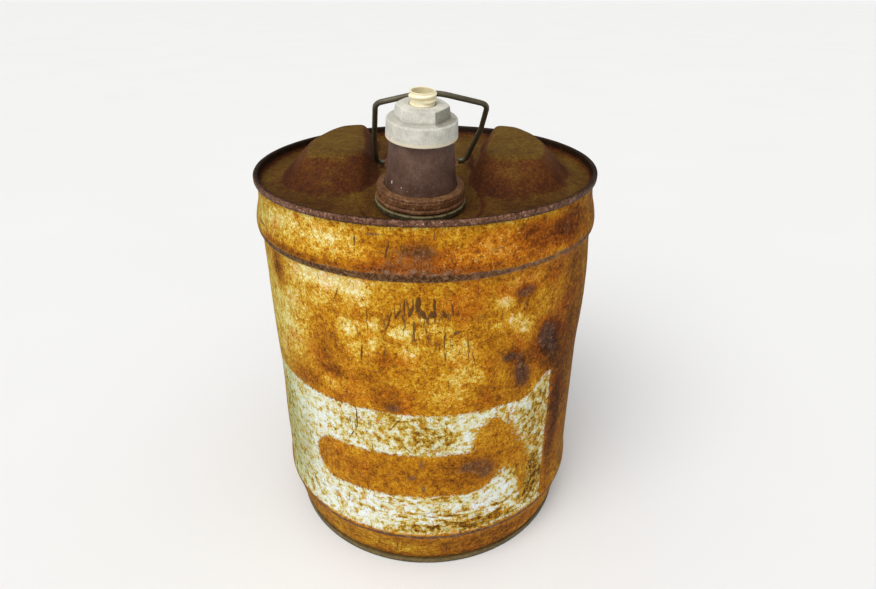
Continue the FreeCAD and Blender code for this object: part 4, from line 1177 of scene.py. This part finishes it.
# ---------------------------------------------------------------- handle

# The bail in its own plane, from foot to foot: across, up and the bend's radius.
BAIL_BENDS = [
    (-7.0, 0.0), (-38.4, 0.0, 5.0), (-39.3, 32.0, 90.0), (-36.8, 79.4, 7.0), (-5.0, 89.6, 50.0),
    (10.5, 89.7, 38.0), (48.0, 75.8, 8.0), (46.6, 45.0, 90.0), (38.4, 0.0, 5.0), (7.0, 0.0),
]
BAIL_LEAN = 42.0
WIRE_RADIUS = 2.1


def bail_path():
    """The bail's centreline in its own plane, as points: runs joined by tangent arcs."""
    step = 1.4
    path = [np.array(BAIL_BENDS[0][:2])]
    for before, bend, after in zip(BAIL_BENDS, BAIL_BENDS[1:], BAIL_BENDS[2:]):
        corner = np.array(bend[:2])
        a = np.array(before[:2]) - corner
        b = np.array(after[:2]) - corner
        a, b = a / np.linalg.norm(a), b / np.linalg.norm(b)
        half = math.acos(float(a @ b)) / 2
        centre = corner + (a + b) / np.linalg.norm(a + b) * bend[2] / math.sin(half)
        reach = bend[2] / math.tan(half)
        start, end = corner + a * reach, corner + b * reach
        turns = max(4, int(np.linalg.norm(end - start) / step))
        for k in range(turns + 1):
            out = start + (end - start) * k / turns - centre
            path.append(centre + out / np.linalg.norm(out) * bend[2])
    path.append(np.array(BAIL_BENDS[-1][:2]))
    return np.array(path)


def build_bail(material):
    rough = bail_path()
    walked = np.concatenate([[0], np.cumsum(np.linalg.norm(np.diff(rough, axis=0), axis=1))])
    stations = np.linspace(0, walked[-1], 300)
    path = np.stack([np.interp(stations, walked, rough[:, k]) for k in (0, 1)], -1)
    lean = math.radians(90 + BAIL_LEAN)
    up = math.cos(lean) * HINGE_Y + math.sin(lean) * HINGE_Z
    side = np.cross(HINGE_X, up)
    centre = HINGE + path[:, :1] * HINGE_X + path[:, 1:] * up
    forward = np.gradient(centre, axis=0)
    forward /= np.linalg.norm(forward, axis=1)[:, None]
    across = np.cross(forward, side)
    sides = 20
    turn = np.arange(sides) * TAU / sides
    radius = np.minimum(WIRE_RADIUS + 0.05 * lumps(centre, 7.0, 9), WIRE_RADIUS)
    rings = (centre[:, None, :] + radius[:, None, None]
             * (np.cos(turn)[None, :, None] * across[:, None, :]
                + np.sin(turn)[None, :, None] * side[None, None, :]))
    faces = tube_faces(len(rings), sides)
    make_mesh("wire_bail", rings.reshape(-1, 3), faces, material, "bail", ["bail_handle"])


def build_clip(material):
    """A strap folded over the bail's feet, with four spot welds on each side."""
    low = box_mm("handle_clip")[0][2] - HINGE[2]
    bore, gauge, flange, half_length = 2.2, 0.9, 10.4, 31.9
    outer, high = bore + gauge, low + gauge
    arch = np.radians([0, 30, 60, 90, 120, 150, 180])
    outline = [(-flange, low, 0.3), (-bore - 0.1, low, 0.3), (-bore, low + 0.6, 0.5)]
    outline += [(-bore * math.cos(a), bore * math.sin(a), 0.4) for a in arch]
    outline += [(bore, low + 0.6, 0.5), (bore + 0.1, low, 0.3), (flange, low, 0.3)]
    outline += [(flange, high, 0.35), (outer + 0.9, high, 0.8)]
    outline += [(outer * math.cos(a), outer * math.sin(a), 0.8) for a in arch]
    outline += [(-outer - 0.9, high, 0.8), (-flange, high, 0.35)]
    line = rounded_outline(outline, 0.3, 0.7)
    stations = np.linspace(-half_length, half_length, 90)
    y = np.repeat(line[None, :, 0], len(stations), 0)
    z = np.repeat(line[None, :, 1], len(stations), 0)
    x = np.repeat(stations[:, None], len(line), 1)
    on_top = (z > high - 0.1) & (np.abs(y) > outer + 1.0)
    for weld_x in (-26, -9, 9, 26):
        for weld_y in (-7, 7):
            away = np.hypot(x - weld_x, y - weld_y)
            dimple = 0.14 * np.exp(-((away - 2.5) / 0.6) ** 2) - 0.32 * np.exp(-(away / 1.7) ** 4)
            z = z + on_top * dimple
    ends = 0.5 * np.clip((np.abs(x) - half_length + 0.7) / 0.7, 0, 1) ** 2
    y = y * (1 - 0.02 * ends)
    z = z + 0.06 * np.sin(x * 0.31 + 0.4) * on_top
    points = HINGE + x[..., None] * HINGE_X + y[..., None] * HINGE_Y + z[..., None] * HINGE_Z
    faces = tube_faces(len(stations), len(line))
    make_mesh("folded_clip", points.reshape(-1, 3), faces, material, "can", ["handle_clip"])


# ---------------------------------------------------------------- build everything

build_body(painted_body())
build_top(rusty_top())
build_neck_ring(green_black_steel())
build_collar(brown_steel())
build_spout_neck(dark_neck())
build_nut(chalky_grey())
build_nozzle(cream_plastic())
build_bail(wire_steel())
build_clip(brown_steel("rusted_clip_steel"))

rubber = soft_compound("aged_gasket_rubber", (0.016, 0.014, 0.012), (0.050, 0.044, 0.038))
compound = soft_compound("seam_lining_compound", (0.060, 0.040, 0.024), (0.120, 0.086, 0.054))
CARRIED = {
    "bottom_head": rusty_bottom(),
    "neck_gasket": rubber,
    "collar_gasket": rubber,
    "nozzle_gasket": rubber,
    "top_seam_compound": compound,
    "bottom_seam_compound": compound,
}
for node, material in CARRIED.items():
    mesh = frame["nodes"][node].data
    mesh.materials.clear()
    mesh.materials.append(material)


# ---------------------------------------------------------------- stage, light and camera

def build_floor():
    f = Finish("pale_floor")
    tint = f.noise(400.0, 2.0, 0.5)
    colour = f.ramp(f.add(tint, 0.5), (0.2, (0.86, 0.86, 0.855)), (0.8, (0.88, 0.88, 0.875)))
    material = f.finish(colour, 0.9)
    mesh = bpy.data.meshes.new("floor")
    half = 12.0
    corners = [(-half, -half, 0), (half, -half, 0), (half, half, 0), (-half, half, 0)]
    mesh.from_pydata(corners, [], [(0, 1, 2, 3)])
    mesh.materials.append(material)
    floor = bpy.data.objects.new("floor", mesh)
    bpy.context.scene.collection.objects.link(floor)


def sun_direction(azimuth, elevation):
    a, e = math.radians(azimuth), math.radians(elevation)
    return Vector((math.sin(a) * math.cos(e), -math.cos(a) * math.cos(e), math.sin(e)))


def add_sun(name, azimuth, elevation, strength, softness, colour):
    light = bpy.data.lights.new(name, "SUN")
    light.energy = strength
    light.angle = math.radians(softness)
    light.color = colour
    lamp = bpy.data.objects.new(name, light)
    towards = sun_direction(azimuth, elevation)
    lamp.rotation_euler = towards.to_track_quat("Z", "Y").to_euler()
    lamp.location = towards * 3
    bpy.context.scene.collection.objects.link(lamp)


PALE = 0.90


def light_world():
    """A dim room, brightest in front and to the left, behind a plain pale backdrop."""
    world = bpy.data.worlds.new("soft_studio")
    bpy.context.scene.world = world
    world.use_nodes = True
    tree = world.node_tree
    facing = tree.nodes.new("ShaderNodeVectorMath")
    facing.operation = "DOT_PRODUCT"
    tree.links.new(tree.nodes.new("ShaderNodeTexCoord").outputs["Generated"], facing.inputs[0])
    facing.inputs[1].default_value = sun_direction(-32, 42)
    ramp = tree.nodes.new("ShaderNodeValToRGB")
    tree.links.new(facing.outputs["Value"], ramp.inputs[0])
    stops = [(0.0, 0.24), (0.45, 0.34), (0.80, 0.62), (1.0, PALE)]
    while len(ramp.color_ramp.elements) < len(stops):
        ramp.color_ramp.elements.new(0.5)
    for element, (position, level) in zip(ramp.color_ramp.elements, stops):
        element.position = position
        element.color = (level, level, level, 1.0)
    backdrop = tree.nodes.new("ShaderNodeMixRGB")
    seen = tree.nodes.new("ShaderNodeLightPath").outputs["Is Camera Ray"]
    tree.links.new(seen, backdrop.inputs[0])
    tree.links.new(ramp.outputs[0], backdrop.inputs[1])
    backdrop.inputs[2].default_value = (PALE, PALE, PALE, 1.0)
    tree.links.new(backdrop.outputs[0], tree.nodes["Background"].inputs["Color"])


def add_camera():
    """The photograph's view, as fitted to the rim, the bead and the foot."""
    data = bpy.data.cameras.new("camera")
    data.sensor_width = 36.0
    data.lens = 25.126
    data.clip_start = 0.01
    data.clip_end = 100.0
    camera = bpy.data.objects.new("camera", data)
    camera.location = (0.0301, -0.5214, 0.4833)
    camera.rotation_euler = (math.radians(62.35), 0.0, math.radians(2.15))
    bpy.context.scene.collection.objects.link(camera)
    bpy.context.scene.camera = camera


build_floor()
light_world()
add_sun("key", -30, 50, 1.55, 46, (1.0, 0.985, 0.96))
add_sun("top", 30, 76, 0.75, 80, (0.97, 0.985, 1.0))
add_camera()
bpy.context.scene.view_settings.view_transform = "Standard"
